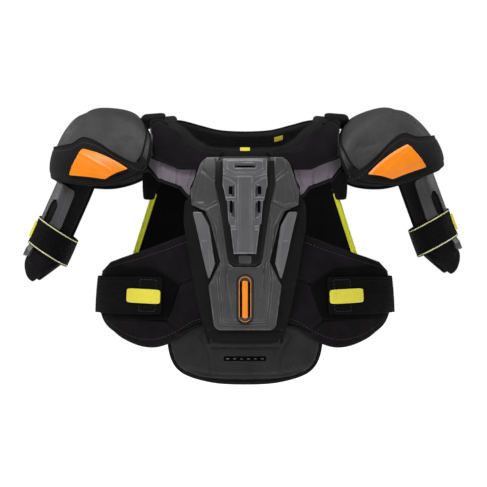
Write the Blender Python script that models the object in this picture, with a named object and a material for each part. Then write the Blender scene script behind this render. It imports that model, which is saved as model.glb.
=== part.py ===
"""Ice hockey shoulder pads, senior size, held open as if worn.

The wearer faces -Y and +Z is up. "right" and "left" are the wearer's, so right is -X.
The origin lies between the undersides of the two shoulder arches, where the pads rest on
the wearer. Every soft or moulded layer is a closed slab laid on one of three forms: the
torso, the shoulder cap's dome, or the sleeve of the upper arm.
"""

import math

import bmesh
import bpy
import numpy as np
from mathutils import Matrix, Vector

MM = 0.001

# Torso form: its half width and half depth by height, and the shoulder line above the chest.
CHEST_LINE = -0.100
TORSO_HEIGHTS = (-0.40, -0.30, -0.20, -0.10, -0.05)
TORSO_HALF_WIDTHS = (0.210, 0.219, 0.208, 0.175, 0.160)
TORSO_HALF_DEPTHS = (0.112, 0.122, 0.125, 0.112, 0.098)
SHOULDER_RISE = 0.104
SHOULDER_FALL = 0.08
NECK_HALF_WIDTH = 0.118
FRONT_NECK_DROP = -0.045
BACK_NECK_DROP = -0.0205
NECK_TOP = 0.002
COLLAR_WIDTH = 0.0165
COLLAR_THICK = 12 * MM

# Layers over the torso, as distances out from the form.
LINER = (0.0, 7 * MM)
FOAM = (8.4 * MM, 15.2 * MM)
PANEL = (16.2 * MM, 22 * MM)
SHIELD = (23 * MM, 29 * MM)
PLATE_BED = (29.6 * MM, 31.2 * MM)
STERNUM = (31.8 * MM, 37 * MM)
BACK_LINER = (0.0, 6 * MM)
BACK_PANEL = (6.8 * MM, 13 * MM)
SPINE = (14.4 * MM, 20.4 * MM)
YOKE_THICK = 15 * MM
YOKE_TOP_THICK = 7 * MM
YOKE_TOP = 1.24
CLAVICLE_THICK = 9 * MM
LOOP_PATCH = (16.8 * MM, 17.8 * MM)
STRAP = (18.8 * MM, 21.2 * MM)

# Joints.
FRONT_HINGE = Vector((0.0, -0.024, 0.018))
CAP_HINGE = Vector((0.150, 0.0, 0.020))
BICEP_HINGE = Vector((0.296, 0.0, -0.088))
STRAP_HINGE_ANGLE = math.radians(82)

# Shoulder cap: a dome over a rim, with its middle and its crown.
CAP_MIDDLE = Vector((0.205, 0.0, -0.050))
CAP_CROWN = Vector((0.250, 0.0, 0.020))
CAP_CENTRE = Vector((0.223, 0.0, -0.037))
CAP_RIM = (
    (0.168, 0.000, 0.006),
    (0.149, -0.086, -0.030),
    (0.158, -0.099, -0.072),
    (0.215, -0.098, -0.094),
    (0.284, -0.062, -0.088),
    (0.298, 0.000, -0.080),
)
CAP_TETHER = (-20.2 * MM, -18.2 * MM)
CAP_LINER = (-16.8 * MM, -10.8 * MM)
CAP_SHELL = (-7.8 * MM, -5.2 * MM)
CAP_COVER = (-2.0 * MM, 2.8 * MM)
CAP_SKIRT = (6.2 * MM, 8 * MM)
CAP_ACCENT = (9.4 * MM, 11.4 * MM)
CAP_ACCENT_CORNERS = ((0.262, -0.037), (0.178, -0.072), (0.214, -0.084), (0.274, -0.078))
CAP_SPREAD = 1.0
CAP_TILT = {"right": 0.0, "left": math.radians(13)}

# Upper arm sleeve: its top on the arm's axis, and how far it leans out.
ARM_TOP = Vector((0.270, 0.0, -0.100))
ARM_LEAN = {"right": math.radians(24), "left": math.radians(20)}
ARM_LIFT = {"right": 0.0, "left": 0.016}
ARM_HALF_WIDTH = 0.022
ARM_HALF_DEPTH = 0.047
BICEP_PAD = (0.0, 7 * MM)
BICEP_GUARD = (8.2 * MM, 10.6 * MM)
BICEP_BAND = (12 * MM, 14.2 * MM)
BICEP_TAB = (15.2 * MM, 17 * MM)

SIDES = {"right": -1.0, "left": 1.0}
FINISHES = {
    "brushed_black": ((0.020, 0.019, 0.021), 0.85, 0.0),
    "plum_grey": ((0.105, 0.092, 0.112), 0.80, 0.0),
    "panel_charcoal": ((0.045, 0.044, 0.047), 0.70, 0.0),
    "binding_black": ((0.012, 0.012, 0.013), 0.75, 0.0),
    "shield_grey": ((0.085, 0.087, 0.092), 0.42, 0.0),
    "plate_grey": ((0.200, 0.205, 0.215), 0.38, 0.0),
    "insert_silver": ((0.420, 0.430, 0.450), 0.32, 0.0),
    "bed_black": ((0.015, 0.015, 0.017), 0.45, 0.0),
    "orange_gloss": ((0.900, 0.280, 0.020), 0.28, 0.0),
    "cap_leather": ((0.075, 0.074, 0.076), 0.62, 0.0),
    "neon_yellow": ((0.720, 0.860, 0.050), 0.60, 0.0),
    "elastic_black": ((0.016, 0.016, 0.018), 0.82, 0.0),
    "guard_grey": ((0.210, 0.212, 0.222), 0.40, 0.0),
}


def clear_scene():
    for old in list(bpy.data.objects):
        bpy.data.objects.remove(old, do_unlink=True)


def new_collection(name):
    collection = bpy.data.collections.new(name)
    bpy.context.scene.collection.children.link(collection)
    return collection


def new_material(name, finish):
    colour, roughness, metallic = finish
    made = bpy.data.materials.new(name)
    made.use_nodes = True
    shader = made.node_tree.nodes["Principled BSDF"]
    shader.inputs["Base Color"].default_value = (*colour, 1.0)
    shader.inputs["Roughness"].default_value = roughness
    shader.inputs["Metallic"].default_value = metallic
    made.diffuse_color = (*colour, 1.0)
    return made


def between(low, high, share):
    return low + (high - low) * share


def along(value, stops, levels):
    """Read levels at value along rising stops, in straight steps."""
    return float(np.interp(value, stops, levels))


# --- The torso form -----------------------------------------------------------------


def half_width(z):
    return along(z, TORSO_HEIGHTS, TORSO_HALF_WIDTHS)


def half_depth(z):
    return along(z, TORSO_HEIGHTS, TORSO_HALF_DEPTHS)


def shoulder_rise(x):
    return SHOULDER_RISE - SHOULDER_FALL * max(0.0, abs(x) - 0.11)


def depth_at(x, z):
    share = min(0.999, abs(x) / half_width(z))
    return half_depth(z) * math.sqrt(1 - share * share)


def torso_level(x, y, z):
    """1 on the torso form, more outside it."""
    if z <= CHEST_LINE:
        return (x / half_width(z)) ** 2 + (y / half_depth(z)) ** 2
    rise = (z - CHEST_LINE) / shoulder_rise(x)
    return (y / depth_at(x, CHEST_LINE)) ** 2 + rise * rise


def outward(level, point, step=1e-4):
    """The direction in which a level function grows fastest."""
    slope = Vector((0.0, 0.0, 0.0))
    for axis in range(3):
        ahead = point.copy()
        behind = point.copy()
        ahead[axis] += step
        behind[axis] -= step
        slope[axis] = level(*ahead) - level(*behind)
    return slope.normalized()


def torso(face, x, rise, off):
    """A point over the torso: face is -1 at the front and 1 at the back. rise is metres
    below the chest line where negative, and the angle up and over the shoulder above it."""
    if rise <= 0:
        z = CHEST_LINE + rise
        point = Vector((x, face * depth_at(x, z), z))
    else:
        y = face * depth_at(x, CHEST_LINE) * math.cos(rise)
        point = Vector((x, y, CHEST_LINE + shoulder_rise(x) * math.sin(rise)))
    return point + off * outward(torso_level, point)


def torso_round(angle, z, off):
    """A point over the torso by its angle round from the front middle towards +X."""
    point = Vector((half_width(z) * math.sin(angle), -half_depth(z) * math.cos(angle), z))
    flat = Vector((point.x / half_width(z) ** 2, point.y / half_depth(z) ** 2, 0.0))
    return point + off * flat.normalized()


def rise_of(x, z):
    if z <= CHEST_LINE:
        return z - CHEST_LINE
    return math.asin(min(0.999, (z - CHEST_LINE) / shoulder_rise(x)))


def angle_of(x, z, off):
    return math.asin(min(0.999, abs(x) / (half_width(z) + off)))


def height_of(rise):
    """The height that a rise reaches near the middle of the torso."""
    return CHEST_LINE + (rise if rise <= 0 else SHOULDER_RISE * math.sin(rise))


def rise_by_row(v, bottom, top, lower_share):
    """A rise that crosses the chest line exactly where v is lower_share."""
    if v <= lower_share:
        return between(bottom, 0.0, v / lower_share)
    return between(0.0, top, (v - lower_share) / (1 - lower_share))


def front_neckline(x):
    return FRONT_NECK_DROP + (NECK_TOP - FRONT_NECK_DROP) * (abs(x) / NECK_HALF_WIDTH) ** 3.4


def back_neckline(x):
    return BACK_NECK_DROP + (NECK_TOP - BACK_NECK_DROP) * (abs(x) / NECK_HALF_WIDTH) ** 2.8


def below_collar(neckline, x, gap):
    """How high a layer may come at x so that it stays clear of the collar band."""
    slope = (neckline(abs(x) + MM) - neckline(abs(x) - MM)) / (2 * MM)
    reach = (COLLAR_WIDTH + gap) * math.hypot(1.0, slope)
    return rise_of(x, neckline(x) - reach)


def beside_collar(neckline, rise, gap):
    """The x at which a layer clears the collar band where it reaches this rise."""
    inner, outer = 0.03, NECK_HALF_WIDTH
    for _ in range(24):
        middle = (inner + outer) / 2
        if below_collar(neckline, middle, gap) < rise:
            inner = middle
        else:
            outer = middle
    return outer


# --- Slabs --------------------------------------------------------------------------


class Builder:
    """Makes each sub-part as a closed slab and parents it to the empty of its body."""

    def __init__(self, collection, materials):
        self.collection = collection
        self.materials = materials

    def empty(self, name, place):
        made = bpy.data.objects.new(name, None)
        made.location = place
        made.empty_display_size = 0.03
        self.collection.objects.link(made)
        return made

    def slab(self, name, finish, cells, place, parent, closed=False):
        """A sheet of cells[0] x cells[1] with a thickness. place(u, v, w) gives each point
        for u and v across the sheet and w from its inner to its outer face, all 0 to 1."""
        mesh = bmesh.new()
        bmesh.ops.create_grid(mesh, x_segments=cells[0], y_segments=cells[1], size=0.5)
        if closed:
            self.join_ends(mesh)
        raised = bmesh.ops.extrude_face_region(mesh, geom=mesh.faces[:], use_keep_orig=True)
        for piece in raised["geom"]:
            if isinstance(piece, bmesh.types.BMVert):
                piece.co.z = 1.0
        for vert in mesh.verts:
            vert.co = place(vert.co.x + 0.5, vert.co.y + 0.5, vert.co.z) - parent.location
        bmesh.ops.recalc_face_normals(mesh, faces=mesh.faces[:])
        if mesh.calc_volume(signed=True) < 0:
            bmesh.ops.reverse_faces(mesh, faces=mesh.faces[:])
        data = bpy.data.meshes.new(name)
        mesh.to_mesh(data)
        mesh.free()
        data.shade_smooth()
        data.set_sharp_from_angle(angle=math.radians(40))
        data.materials.append(self.materials[finish])
        made = bpy.data.objects.new(name, data)
        made.parent = parent
        self.collection.objects.link(made)
        return made

    @staticmethod
    def join_ends(mesh):
        """Weld the sheet's last column of points to its first, so that it closes in a ring."""
        first = {round(v.co.y, 5): v for v in mesh.verts if v.co.x < -0.499}
        last = [v for v in mesh.verts if v.co.x > 0.499]
        bmesh.ops.weld_verts(mesh, targetmap={v: first[round(v.co.y, 5)] for v in last})


def mirrored(side, place):
    """The same placing on the wearer's other side."""
    sign = SIDES[side]

    def placed(u, v, w):
        point = place(u, v, w)
        return Vector((point.x * sign, point.y, point.z))

    return placed


def front_sheet(heights, half, layer):
    """Places a sheet on the front, symmetric about the middle, with a row at each height."""

    def placed(u, v, w):
        z = along(v, np.linspace(0, 1, len(heights)), heights)
        x = (2 * u - 1) * half(z)
        return torso(-1, x, rise_of(x, z), between(*layer, w))

    return placed


# --- Front ---------------------------------------------------------------------------


def build_front(make, hinge):
    def liner_half(z):
        return along(z, (-0.298, -0.20, -0.13), (0.100, 0.100, 0.066))

    def liner(u, v, w):
        x = (2 * u - 1) * 0.066
        top = below_collar(front_neckline, x, 2 * MM)
        rise = rise_by_row(v, -0.198, top, 6 / 8)
        x = (2 * u - 1) * liner_half(height_of(rise))
        return torso(-1, x, rise, between(*LINER, w))

    def core(u, v, w):
        x = (2 * u - 1) * 0.055
        top = below_collar(front_neckline, x, 2 * MM)
        return torso(-1, x, rise_by_row(v, -0.200, top, 6 / 8), between(*FOAM, w))

    make.slab("chest_liner", "brushed_black", (7, 8), liner, hinge)
    make.slab("chest_core_foam", "brushed_black", (4, 8), core, hinge)

    def panel_half(z):
        heights = (-0.34, -0.30, -0.20, -0.122, -0.070)
        return along(z, heights, (0.053, 0.062, 0.080, 0.089, 0.073))

    def shield_half(z):
        heights = (-0.317, -0.25, -0.24, -0.215, -0.158, -0.142, -0.132, -0.108, -0.068)
        halves = (0.044, 0.052, 0.047, 0.035, 0.049, 0.056, 0.075, 0.0765, 0.062)
        return along(z, heights, halves)

    panel_rows = (-0.34, -0.30, -0.25, -0.20, -0.15, -0.12, -0.10, -0.085, -0.071)
    shield_rows = (-0.317, -0.30, -0.25, -0.24, -0.215, -0.20, -0.158, -0.142, -0.132)
    shield_rows += (-0.108, -0.10, -0.085, -0.069)
    panel = front_sheet(panel_rows, panel_half, PANEL)
    shield = front_sheet(shield_rows, shield_half, SHIELD)
    make.slab("chest_panel", "panel_charcoal", (6, len(panel_rows) - 1), panel, hinge)
    make.slab("chest_shield", "shield_grey", (6, len(shield_rows) - 1), shield, hinge)

    def bed_half(z):
        return along(z, (-0.219, -0.13, -0.095, -0.073), (0.0235, 0.036, 0.0415, 0.0405))

    def plate_half(z):
        return along(z, (-0.204, -0.15, -0.10, -0.076), (0.016, 0.023, 0.030, 0.0305))

    bed = front_sheet((-0.219, -0.20, -0.15, -0.10, -0.085, -0.073), bed_half, PLATE_BED)
    plate = front_sheet((-0.204, -0.19, -0.15, -0.10, -0.085, -0.076), plate_half, STERNUM)
    make.slab("sternum_bed", "bed_black", (4, 5), bed, hinge)
    make.slab("sternum_plate", "plate_grey", (4, 5), plate, hinge)

    def pill_half(z):
        middle = (-0.240 - 0.301) / 2
        straight = 0.0255
        over = max(0.0, abs(z - middle) - straight)
        return math.sqrt(max(0.0, 0.0056**2 - over * over)) + 0.3 * MM

    pill_rows = np.linspace(-0.3005, -0.2405, 13)
    pill = front_sheet(pill_rows, pill_half, (29.8 * MM, 32 * MM))
    make.slab("accent_insert", "orange_gloss", (2, len(pill_rows) - 1), pill, hinge)

    def belly(u, v, w):
        top = -0.300
        x = (2 * u - 1) * along(v, (0, 0.05, 0.25, 0.5, 1), (0.052, 0.072, 0.098, 0.113, 0.117))
        low = -0.402 + 0.010 * (abs(2 * u - 1)) ** 3
        return torso(-1, x, between(low, top, v) - CHEST_LINE, between(-6 * MM, 7.2 * MM, w))

    make.slab("belly_pad", "panel_charcoal", (8, 6), belly, hinge)

    def collar(u, v, w):
        x = (2 * u - 1) * 0.108
        low = below_collar(front_neckline, x, 0.0)
        top = rise_of(x, front_neckline(x))
        return torso(-1, x, between(low, top, v), between(0.0, COLLAR_THICK, w))

    def tag(u, v, w):
        x = (2 * u - 1) * 0.0062
        rise = rise_of(x, front_neckline(x)) - between(0.030, 0.004, v)
        return torso(-1, x, rise, COLLAR_THICK + between(0.4 * MM, 1.2 * MM, w))

    make.slab("front_collar", "brushed_black", (18, 2), collar, hinge)
    make.slab("collar_tag", "neon_yellow", (2, 1), tag, hinge)

    for side in SIDES:
        build_front_side(make, hinge, side)


def yoke_thick(rise):
    return along(rise, (0.0, YOKE_TOP), (YOKE_THICK, YOKE_TOP_THICK))


def build_front_side(make, hinge, side):
    def yoke(u, v, w):
        rise = rise_by_row(v, between(-0.028, -0.003, u), YOKE_TOP, 2 / 9)
        inner = along(rise, (-0.028, 0.35), (0.080, 0.068))
        if rise > 0.35:
            inner = max(inner, beside_collar(front_neckline, rise, 2.5 * MM))
        outer = along(rise, (0.0, 0.3, YOKE_TOP), (0.139, 0.137, 0.148))
        return torso(-1, between(inner, outer, u), rise, between(0.0, yoke_thick(rise), w))

    def clavicle(u, v, w):
        low = along(u, (0, 0.35, 1), (0.44, 0.31, 0.46))
        rise = between(low, YOKE_TOP, v)
        inner = beside_collar(front_neckline, rise, 3.5 * MM)
        base = yoke_thick(rise) + 1.8 * MM
        outer = along(rise, (0.5, 0.8, YOKE_TOP), (0.134, 0.137, 0.150))
        return torso(-1, between(inner, outer, u), rise, base + w * CLAVICLE_THICK)

    make.slab(f"yoke_panel_{side}", "plum_grey", (3, 9), mirrored(side, yoke), hinge)
    make.slab(f"clavicle_pad_{side}", "plum_grey", (3, 8), mirrored(side, clavicle), hinge)

    def wing(u, v, w):
        angle = between(math.radians(17.5), math.radians(88), u)
        x = 0.232 * math.sin(angle)
        top = along(x, (0.06, 0.219, 0.232), (-0.161, -0.216, -0.232))
        spans = (0.06, 0.078, 0.146, 0.205, 0.226, 0.232)
        low = along(x, spans, (-0.314, -0.317, -0.348, -0.327, -0.302, -0.285))
        return torso_round(angle, between(low, top, v), between(*FOAM, w))

    def patch(u, v, w):
        z = between(-0.305, -0.224, v)
        inner = along(v, (0, 0.67, 1), (0.122, 0.105, 0.140))
        angle = between(angle_of(inner, z, 0.016), math.radians(74), u)
        return torso_round(angle, z, between(*LOOP_PATCH, w))

    make.slab(f"rib_wing_{side}", "brushed_black", (12, 5), mirrored(side, wing), hinge)
    make.slab(f"loop_patch_{side}", "elastic_black", (7, 3), mirrored(side, patch), hinge)

    def insert(u, v, w):
        z = between(-0.239, -0.1445, v)
        inner = along(z, (-0.239, -0.215, -0.158, -0.1445), (0.0478, 0.0365, 0.0505, 0.0565))
        outer = along(z, (-0.239, -0.225, -0.1445), (0.0508, 0.0570, 0.0765))
        return torso(-1, between(inner, outer, u), z - CHEST_LINE, between(23 * MM, 27.5 * MM, w))

    make.slab(f"side_insert_{side}", "insert_silver", (2, 7), mirrored(side, insert), hinge)


def build_waist_strap(make, side):
    """The strap end that hooks onto the rib wing, hinged where its elastic meets the wing."""
    edge = torso_round(STRAP_HINGE_ANGLE, -0.267, STRAP[1])
    hinge = make.empty(f"waist_strap_hinge_{side}", mirrored(side, lambda u, v, w: edge)(0, 0, 0))

    def strap(u, v, w):
        angle = between(angle_of(0.131, -0.267, 0.019), STRAP_HINGE_ANGLE - 0.012, u)
        return torso_round(angle, between(-0.296, -0.238, v), between(*STRAP, w))

    def tab(u, v, w):
        angle = between(angle_of(0.134, -0.267, 0.021), angle_of(0.187, -0.267, 0.021), u)
        z = between(-0.279, -0.257, v)
        return torso_round(angle, z, between(STRAP[1] + 0.5 * MM, STRAP[1] + 2.3 * MM, w))

    make.slab(f"waist_strap_{side}", "elastic_black", (7, 2), mirrored(side, strap), hinge)
    make.slab(f"waist_pull_tab_{side}", "neon_yellow", (4, 1), mirrored(side, tab), hinge)


# --- Back and shoulders ----------------------------------------------------------------


def back_half(rise):
    return along(rise, (-0.205, -0.106, 0.0, 0.5, 1.1), (0.172, 0.172, 0.138, 0.136, 0.136))


def build_back(make, root):
    def sheet(layer):
        def placed(u, v, w):
            x = (2 * u - 1) * back_half(1.0)
            top = min(1.08, below_collar(back_neckline, x, 3 * MM))
            rise = rise_by_row(v, -0.200, top, 6 / 10)
            return torso(1, (2 * u - 1) * back_half(rise), rise, between(*layer, w))

        return placed

    make.slab("back_liner", "brushed_black", (16, 10), sheet(BACK_LINER), root)
    make.slab("back_panel", "panel_charcoal", (16, 10), sheet(BACK_PANEL), root)

    def spine(u, v, w):
        rise = rise_by_row(v, -0.170, 0.46, 5 / 7)
        x = (2 * u - 1) * along(rise, (-0.17, -0.13, 0.2, 0.46), (0.022, 0.034, 0.046, 0.036))
        return torso(1, x, rise, between(*SPINE, w))

    def collar(u, v, w):
        x = (2 * u - 1) * 0.112
        low = below_collar(back_neckline, x, 0.0)
        top = rise_of(x, back_neckline(x))
        return torso(1, x, between(low, top, v), between(0.0, COLLAR_THICK, w))

    def loop(u, v, w):
        x = 0.055 + (2 * u - 1) * 0.007
        rise = rise_of(x, back_neckline(x)) - between(0.16, 0.05, v)
        return torso(1, x, rise, between(-2.2 * MM, -0.5 * MM, w))

    make.slab("spine_plate", "shield_grey", (4, 7), spine, root)
    make.slab("back_collar", "brushed_black", (16, 2), collar, root)
    make.slab("hang_loop", "neon_yellow", (1, 2), loop, root)

    for side in SIDES:
        build_shoulder_side(make, root, side)


def build_shoulder_side(make, root, side):
    def over_top(front, back, inner, outer, layer):
        """Places a sheet from the front, over the top of the shoulder, to the back."""

        def placed(u, v, w):
            angle = between(front, math.pi - back, v)
            face, rise = (-1, angle) if angle < math.pi / 2 else (1, math.pi - angle)
            return torso(face, between(inner, outer, u), rise, between(*layer, w))

        return placed

    arch = over_top(1.28, 1.13, 0.1225, 0.152, (0.0, 6 * MM))
    pad = over_top(1.28, 1.13, 0.1235, 0.154, (6.8 * MM, 16 * MM))
    make.slab(f"shoulder_liner_{side}", "brushed_black", (2, 6), mirrored(side, arch), root)
    make.slab(f"shoulder_pad_{side}", "plum_grey", (2, 6), mirrored(side, pad), root)

    def armhole(u, v, w):
        rise = rise_by_row(v, -0.018, 0.30, 1 / 4)
        x = between(back_half(rise) + 1.5 * MM, 0.162, u)
        return torso(1, x, rise, between(0.0, 10 * MM, w))

    make.slab(f"armhole_pad_{side}", "brushed_black", (2, 4), mirrored(side, armhole), root)

    def trim(u, v, w):
        rise = between(-0.118, -0.024, v)
        x = back_half(rise) + between(0.6 * MM, 7 * MM, u)
        return torso(1, x, rise, between(3 * MM, 10 * MM, w))

    def elastic(u, v, w):
        angle = between(STRAP_HINGE_ANGLE + 0.012, math.radians(132), u)
        settle = min(1.0, u / 0.7)
        base = between(STRAP[0], 14 * MM, settle)
        return torso_round(angle, between(-0.296, -0.238, v), base + w * 2.4 * MM)

    make.slab(f"back_trim_{side}", "neon_yellow", (1, 7), mirrored(side, trim), root)
    make.slab(f"waist_elastic_{side}", "elastic_black", (8, 2), mirrored(side, elastic), root)


# --- Shoulder caps ---------------------------------------------------------------------


def cap_rim(turn):
    """The rim at a turn of 0 to 1 round from its inner top by the front: a smooth closed
    curve through the rim's points, the back half mirroring the front."""
    points = [Vector(p) for p in CAP_RIM]
    points += [Vector((p.x, -p.y, p.z)) for p in reversed(points[1:-1])]
    count = len(points)
    place = (turn % 1.0) * count
    at = int(place)
    t = place - at
    a, b, c, d = (points[(at + k) % count] for k in (-1, 0, 1, 2))
    return 0.5 * (
        2 * b + (c - a) * t + (2 * a - 5 * b + 4 * c - d) * t**2 + (3 * b - a - 3 * c + d) * t**3
    )


def cap_form(p, q):
    """The dome over the unit disc: the crown at its middle and the rim at radius 1. Near the
    crown it spreads evenly, and towards the rim it takes the rim's own outline."""
    reach = math.hypot(p, q)
    turn = math.atan2(q, p) / (2 * math.pi)
    bend = reach * math.pi / 2
    even = p * (cap_rim(0.0) - cap_rim(0.5)) / 2 + q * (cap_rim(0.25) - cap_rim(0.75)) / 2
    rim = (cap_rim(turn) - CAP_MIDDLE) * math.sin(bend)
    share = min(1.0, reach) ** 2
    spread = even * (1 - share) * CAP_SPREAD + rim * share
    return CAP_MIDDLE + spread + (CAP_CROWN - CAP_MIDDLE) * math.cos(bend)


def cap_point(side, p, q, off):
    step = 0.01
    across = cap_form(p + step, q) - cap_form(p - step, q)
    down = cap_form(p, q + step) - cap_form(p, q - step)
    normal = across.cross(down).normalized()
    if normal.dot(cap_form(p, q) - CAP_MIDDLE) < 0:
        normal.negate()
    point = cap_form(p, q) + off * normal
    turned = Matrix.Rotation(-CAP_TILT[side], 3, "Y") @ (point - CAP_CENTRE) + CAP_CENTRE
    return Vector((turned.x * SIDES[side], turned.y, turned.z))


def disc(a, b):
    """Rounds a square of -1 to 1 into the unit disc."""
    return a * math.sqrt(1 - b * b / 2), b * math.sqrt(1 - a * a / 2)


def cap_spot(x, z):
    """The disc coordinates of the dome's front point seen at x and z."""
    p, q = 0.0, 0.6
    for _ in range(30):
        here = cap_form(p, q)
        along_p = (cap_form(p + 1e-4, q) - here) / 1e-4
        along_q = (cap_form(p, q + 1e-4) - here) / 1e-4
        area = along_p.x * along_q.z - along_p.z * along_q.x
        dx, dz = x - here.x, z - here.z
        p += 0.5 * (dx * along_q.z - dz * along_q.x) / area
        q += 0.5 * (dz * along_p.x - dx * along_p.z) / area
    return p, q


def build_cap(make, side):
    sign = SIDES[side]
    hinge = make.empty(f"cap_hinge_{side}", Vector((CAP_HINGE.x * sign, CAP_HINGE.y, CAP_HINGE.z)))

    def dome(radius, layer):
        def placed(u, v, w):
            p, q = disc(2 * u - 1, 2 * v - 1)
            return cap_point(side, p * radius, q * radius, between(*layer, w))

        return placed

    make.slab(f"cap_liner_{side}", "brushed_black", (8, 8), dome(0.96, CAP_LINER), hinge)
    make.slab(f"cap_shell_{side}", "shield_grey", (8, 8), dome(0.94, CAP_SHELL), hinge)
    make.slab(f"cap_cover_{side}", "cap_leather", (10, 10), dome(1.0, CAP_COVER), hinge)

    def skirt(u, v, w):
        turn = between(0.22, 0.78, u)
        inner = 0.60 - 0.14 * math.cos(2 * math.pi * (turn - 0.5))
        reach = between(inner, 0.995, v)
        p = reach * math.cos(2 * math.pi * turn)
        q = reach * math.sin(2 * math.pi * turn)
        return cap_point(side, p, q, between(*CAP_SKIRT, w))

    make.slab(f"cap_skirt_{side}", "binding_black", (18, 4), skirt, hinge)

    top, inner, bottom, outer = (Vector(cap_spot(*c)) for c in CAP_ACCENT_CORNERS)

    def accent(u, v, w):
        low = outer.lerp(bottom, u)
        high = top.lerp(inner, u)
        spot = low.lerp(high, v)
        return cap_point(side, spot.x, spot.y, between(*CAP_ACCENT, w))

    make.slab(f"cap_accent_{side}", "orange_gloss", (5, 3), accent, hinge)

    def tether(u, v, w):
        p = between(0.86, 0.30, u)
        return cap_point(side, p, between(-0.18, 0.18, v), between(*CAP_TETHER, w))

    make.slab(f"cap_tether_{side}", "elastic_black", (4, 1), tether, hinge)


# --- Bicep guards ------------------------------------------------------------------------


def arm_point(side, angle, down, off):
    """A point over the sleeve: angle from the front round towards the outside."""
    sign = SIDES[side]
    lean = ARM_LEAN[side]
    axis = Vector((math.sin(lean), 0.0, -math.cos(lean)))
    out = Vector((math.cos(lean), 0.0, math.sin(lean)))
    front = Vector((0.0, -1.0, 0.0))
    ring = front * math.cos(angle) * (ARM_HALF_DEPTH + off)
    ring += out * math.sin(angle) * (ARM_HALF_WIDTH + off)
    point = ARM_TOP + Vector((0.0, 0.0, ARM_LIFT[side])) + axis * down + ring
    return Vector((point.x * sign, point.y, point.z))


def build_bicep(make, side):
    sign = SIDES[side]
    lift = ARM_LIFT[side]
    hinge = make.empty(f"bicep_hinge_{side}", Vector((BICEP_HINGE.x * sign, 0.0, BICEP_HINGE.z + lift)))

    def pad(u, v, w):
        angle = math.radians(between(-62, 242, u))
        outside = max(0.0, math.sin(angle))
        top = between(-0.012, 0.016, outside)
        bottom = 0.160 - 0.044 * max(0.0, -math.sin(angle))
        return arm_point(side, angle, between(bottom, top, v), between(*BICEP_PAD, w))

    guard_rows = (0.128, 0.109, 0.090, 0.086, 0.082, 0.078, 0.074, 0.045, 0.016)

    def guard(u, v, w):
        down = along(v, np.linspace(0, 1, len(guard_rows)), guard_rows)
        front = along(down, (0.016, 0.074, 0.090, 0.128), (-14, -14, 46, 40))
        back = along(down, (0.016, 0.074, 0.090, 0.128), (150, 150, 134, 140))
        angle = math.radians(between(front, back, u))
        return arm_point(side, angle, down, between(*BICEP_GUARD, w))

    def band(u, v, w):
        angle = 2 * math.pi * u
        slant = 0.006 * math.sin(angle)
        down = between(0.114, 0.068, v) - slant
        return arm_point(side, angle, down, between(*BICEP_BAND, w))

    make.slab(f"bicep_pad_{side}", "brushed_black", (16, 6), pad, hinge)
    make.slab(f"bicep_guard_{side}", "guard_grey", (10, len(guard_rows) - 1), guard, hinge)
    make.slab(f"bicep_band_{side}", "elastic_black", (18, 2), band, hinge, closed=True)
    return hinge


def build_bicep_tab(make, side):
    """The hook-and-loop end of the bicep band, hinged along the sleeve behind the arm."""
    root_angle = math.radians(96)
    place = arm_point(side, root_angle, 0.086, BICEP_TAB[0])
    hinge = make.empty(f"bicep_tab_hinge_{side}", place)

    def tab(u, v, w):
        angle = between(math.radians(58), root_angle - 0.02, u)
        slant = 0.006 * math.sin(angle)
        return arm_point(side, angle, between(0.104, 0.078, v) - slant, between(*BICEP_TAB, w))

    make.slab(f"bicep_tab_{side}", "neon_yellow", (4, 1), tab, hinge)


def main():
    clear_scene()
    collection = new_collection("hockey_shoulder_pads")
    materials = {name: new_material(name, finish) for name, finish in FINISHES.items()}
    make = Builder(collection, materials)
    root = make.empty("wearer_shoulders", Vector((0.0, 0.0, 0.0)))
    front = make.empty("front_hinge", FRONT_HINGE)
    build_back(make, root)
    build_front(make, front)
    for side in SIDES:
        build_waist_strap(make, side)
        build_cap(make, side)
        build_bicep(make, side)
        build_bicep_tab(make, side)


main()
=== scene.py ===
"""The looks of the ice hockey shoulder pads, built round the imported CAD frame.

The wearer faces -Y and +Z is up; "right" is the wearer's right, at -X. Each sub-part is a
closed slab with rounded edges on the same forms as the CAD: the torso, the shoulder cap's
dome and the sleeve of the upper arm. Piping, bindings, stitches and seams follow them.
"""

import math

import bpy
import numpy as np
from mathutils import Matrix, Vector
from mathutils.bvhtree import BVHTree


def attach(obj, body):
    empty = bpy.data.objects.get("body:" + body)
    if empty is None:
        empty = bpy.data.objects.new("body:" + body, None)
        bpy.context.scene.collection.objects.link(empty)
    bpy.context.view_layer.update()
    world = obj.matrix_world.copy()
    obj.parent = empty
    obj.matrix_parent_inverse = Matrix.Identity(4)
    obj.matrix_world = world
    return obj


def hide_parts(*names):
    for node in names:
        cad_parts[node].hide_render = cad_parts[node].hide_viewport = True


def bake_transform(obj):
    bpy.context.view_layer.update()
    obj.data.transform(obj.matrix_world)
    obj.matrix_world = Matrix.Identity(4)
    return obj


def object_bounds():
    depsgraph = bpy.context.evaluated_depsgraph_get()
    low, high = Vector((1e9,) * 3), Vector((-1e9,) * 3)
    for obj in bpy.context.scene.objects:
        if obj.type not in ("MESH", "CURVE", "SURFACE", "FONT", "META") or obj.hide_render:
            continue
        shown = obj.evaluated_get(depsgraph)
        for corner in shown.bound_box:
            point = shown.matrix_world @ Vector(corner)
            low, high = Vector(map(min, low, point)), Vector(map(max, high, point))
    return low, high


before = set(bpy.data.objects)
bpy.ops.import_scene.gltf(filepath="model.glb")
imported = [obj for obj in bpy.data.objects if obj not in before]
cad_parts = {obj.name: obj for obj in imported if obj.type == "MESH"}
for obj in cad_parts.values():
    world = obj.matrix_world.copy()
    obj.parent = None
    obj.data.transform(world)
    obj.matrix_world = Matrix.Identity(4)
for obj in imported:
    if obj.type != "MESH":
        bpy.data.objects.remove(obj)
CAD_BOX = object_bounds()

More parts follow.
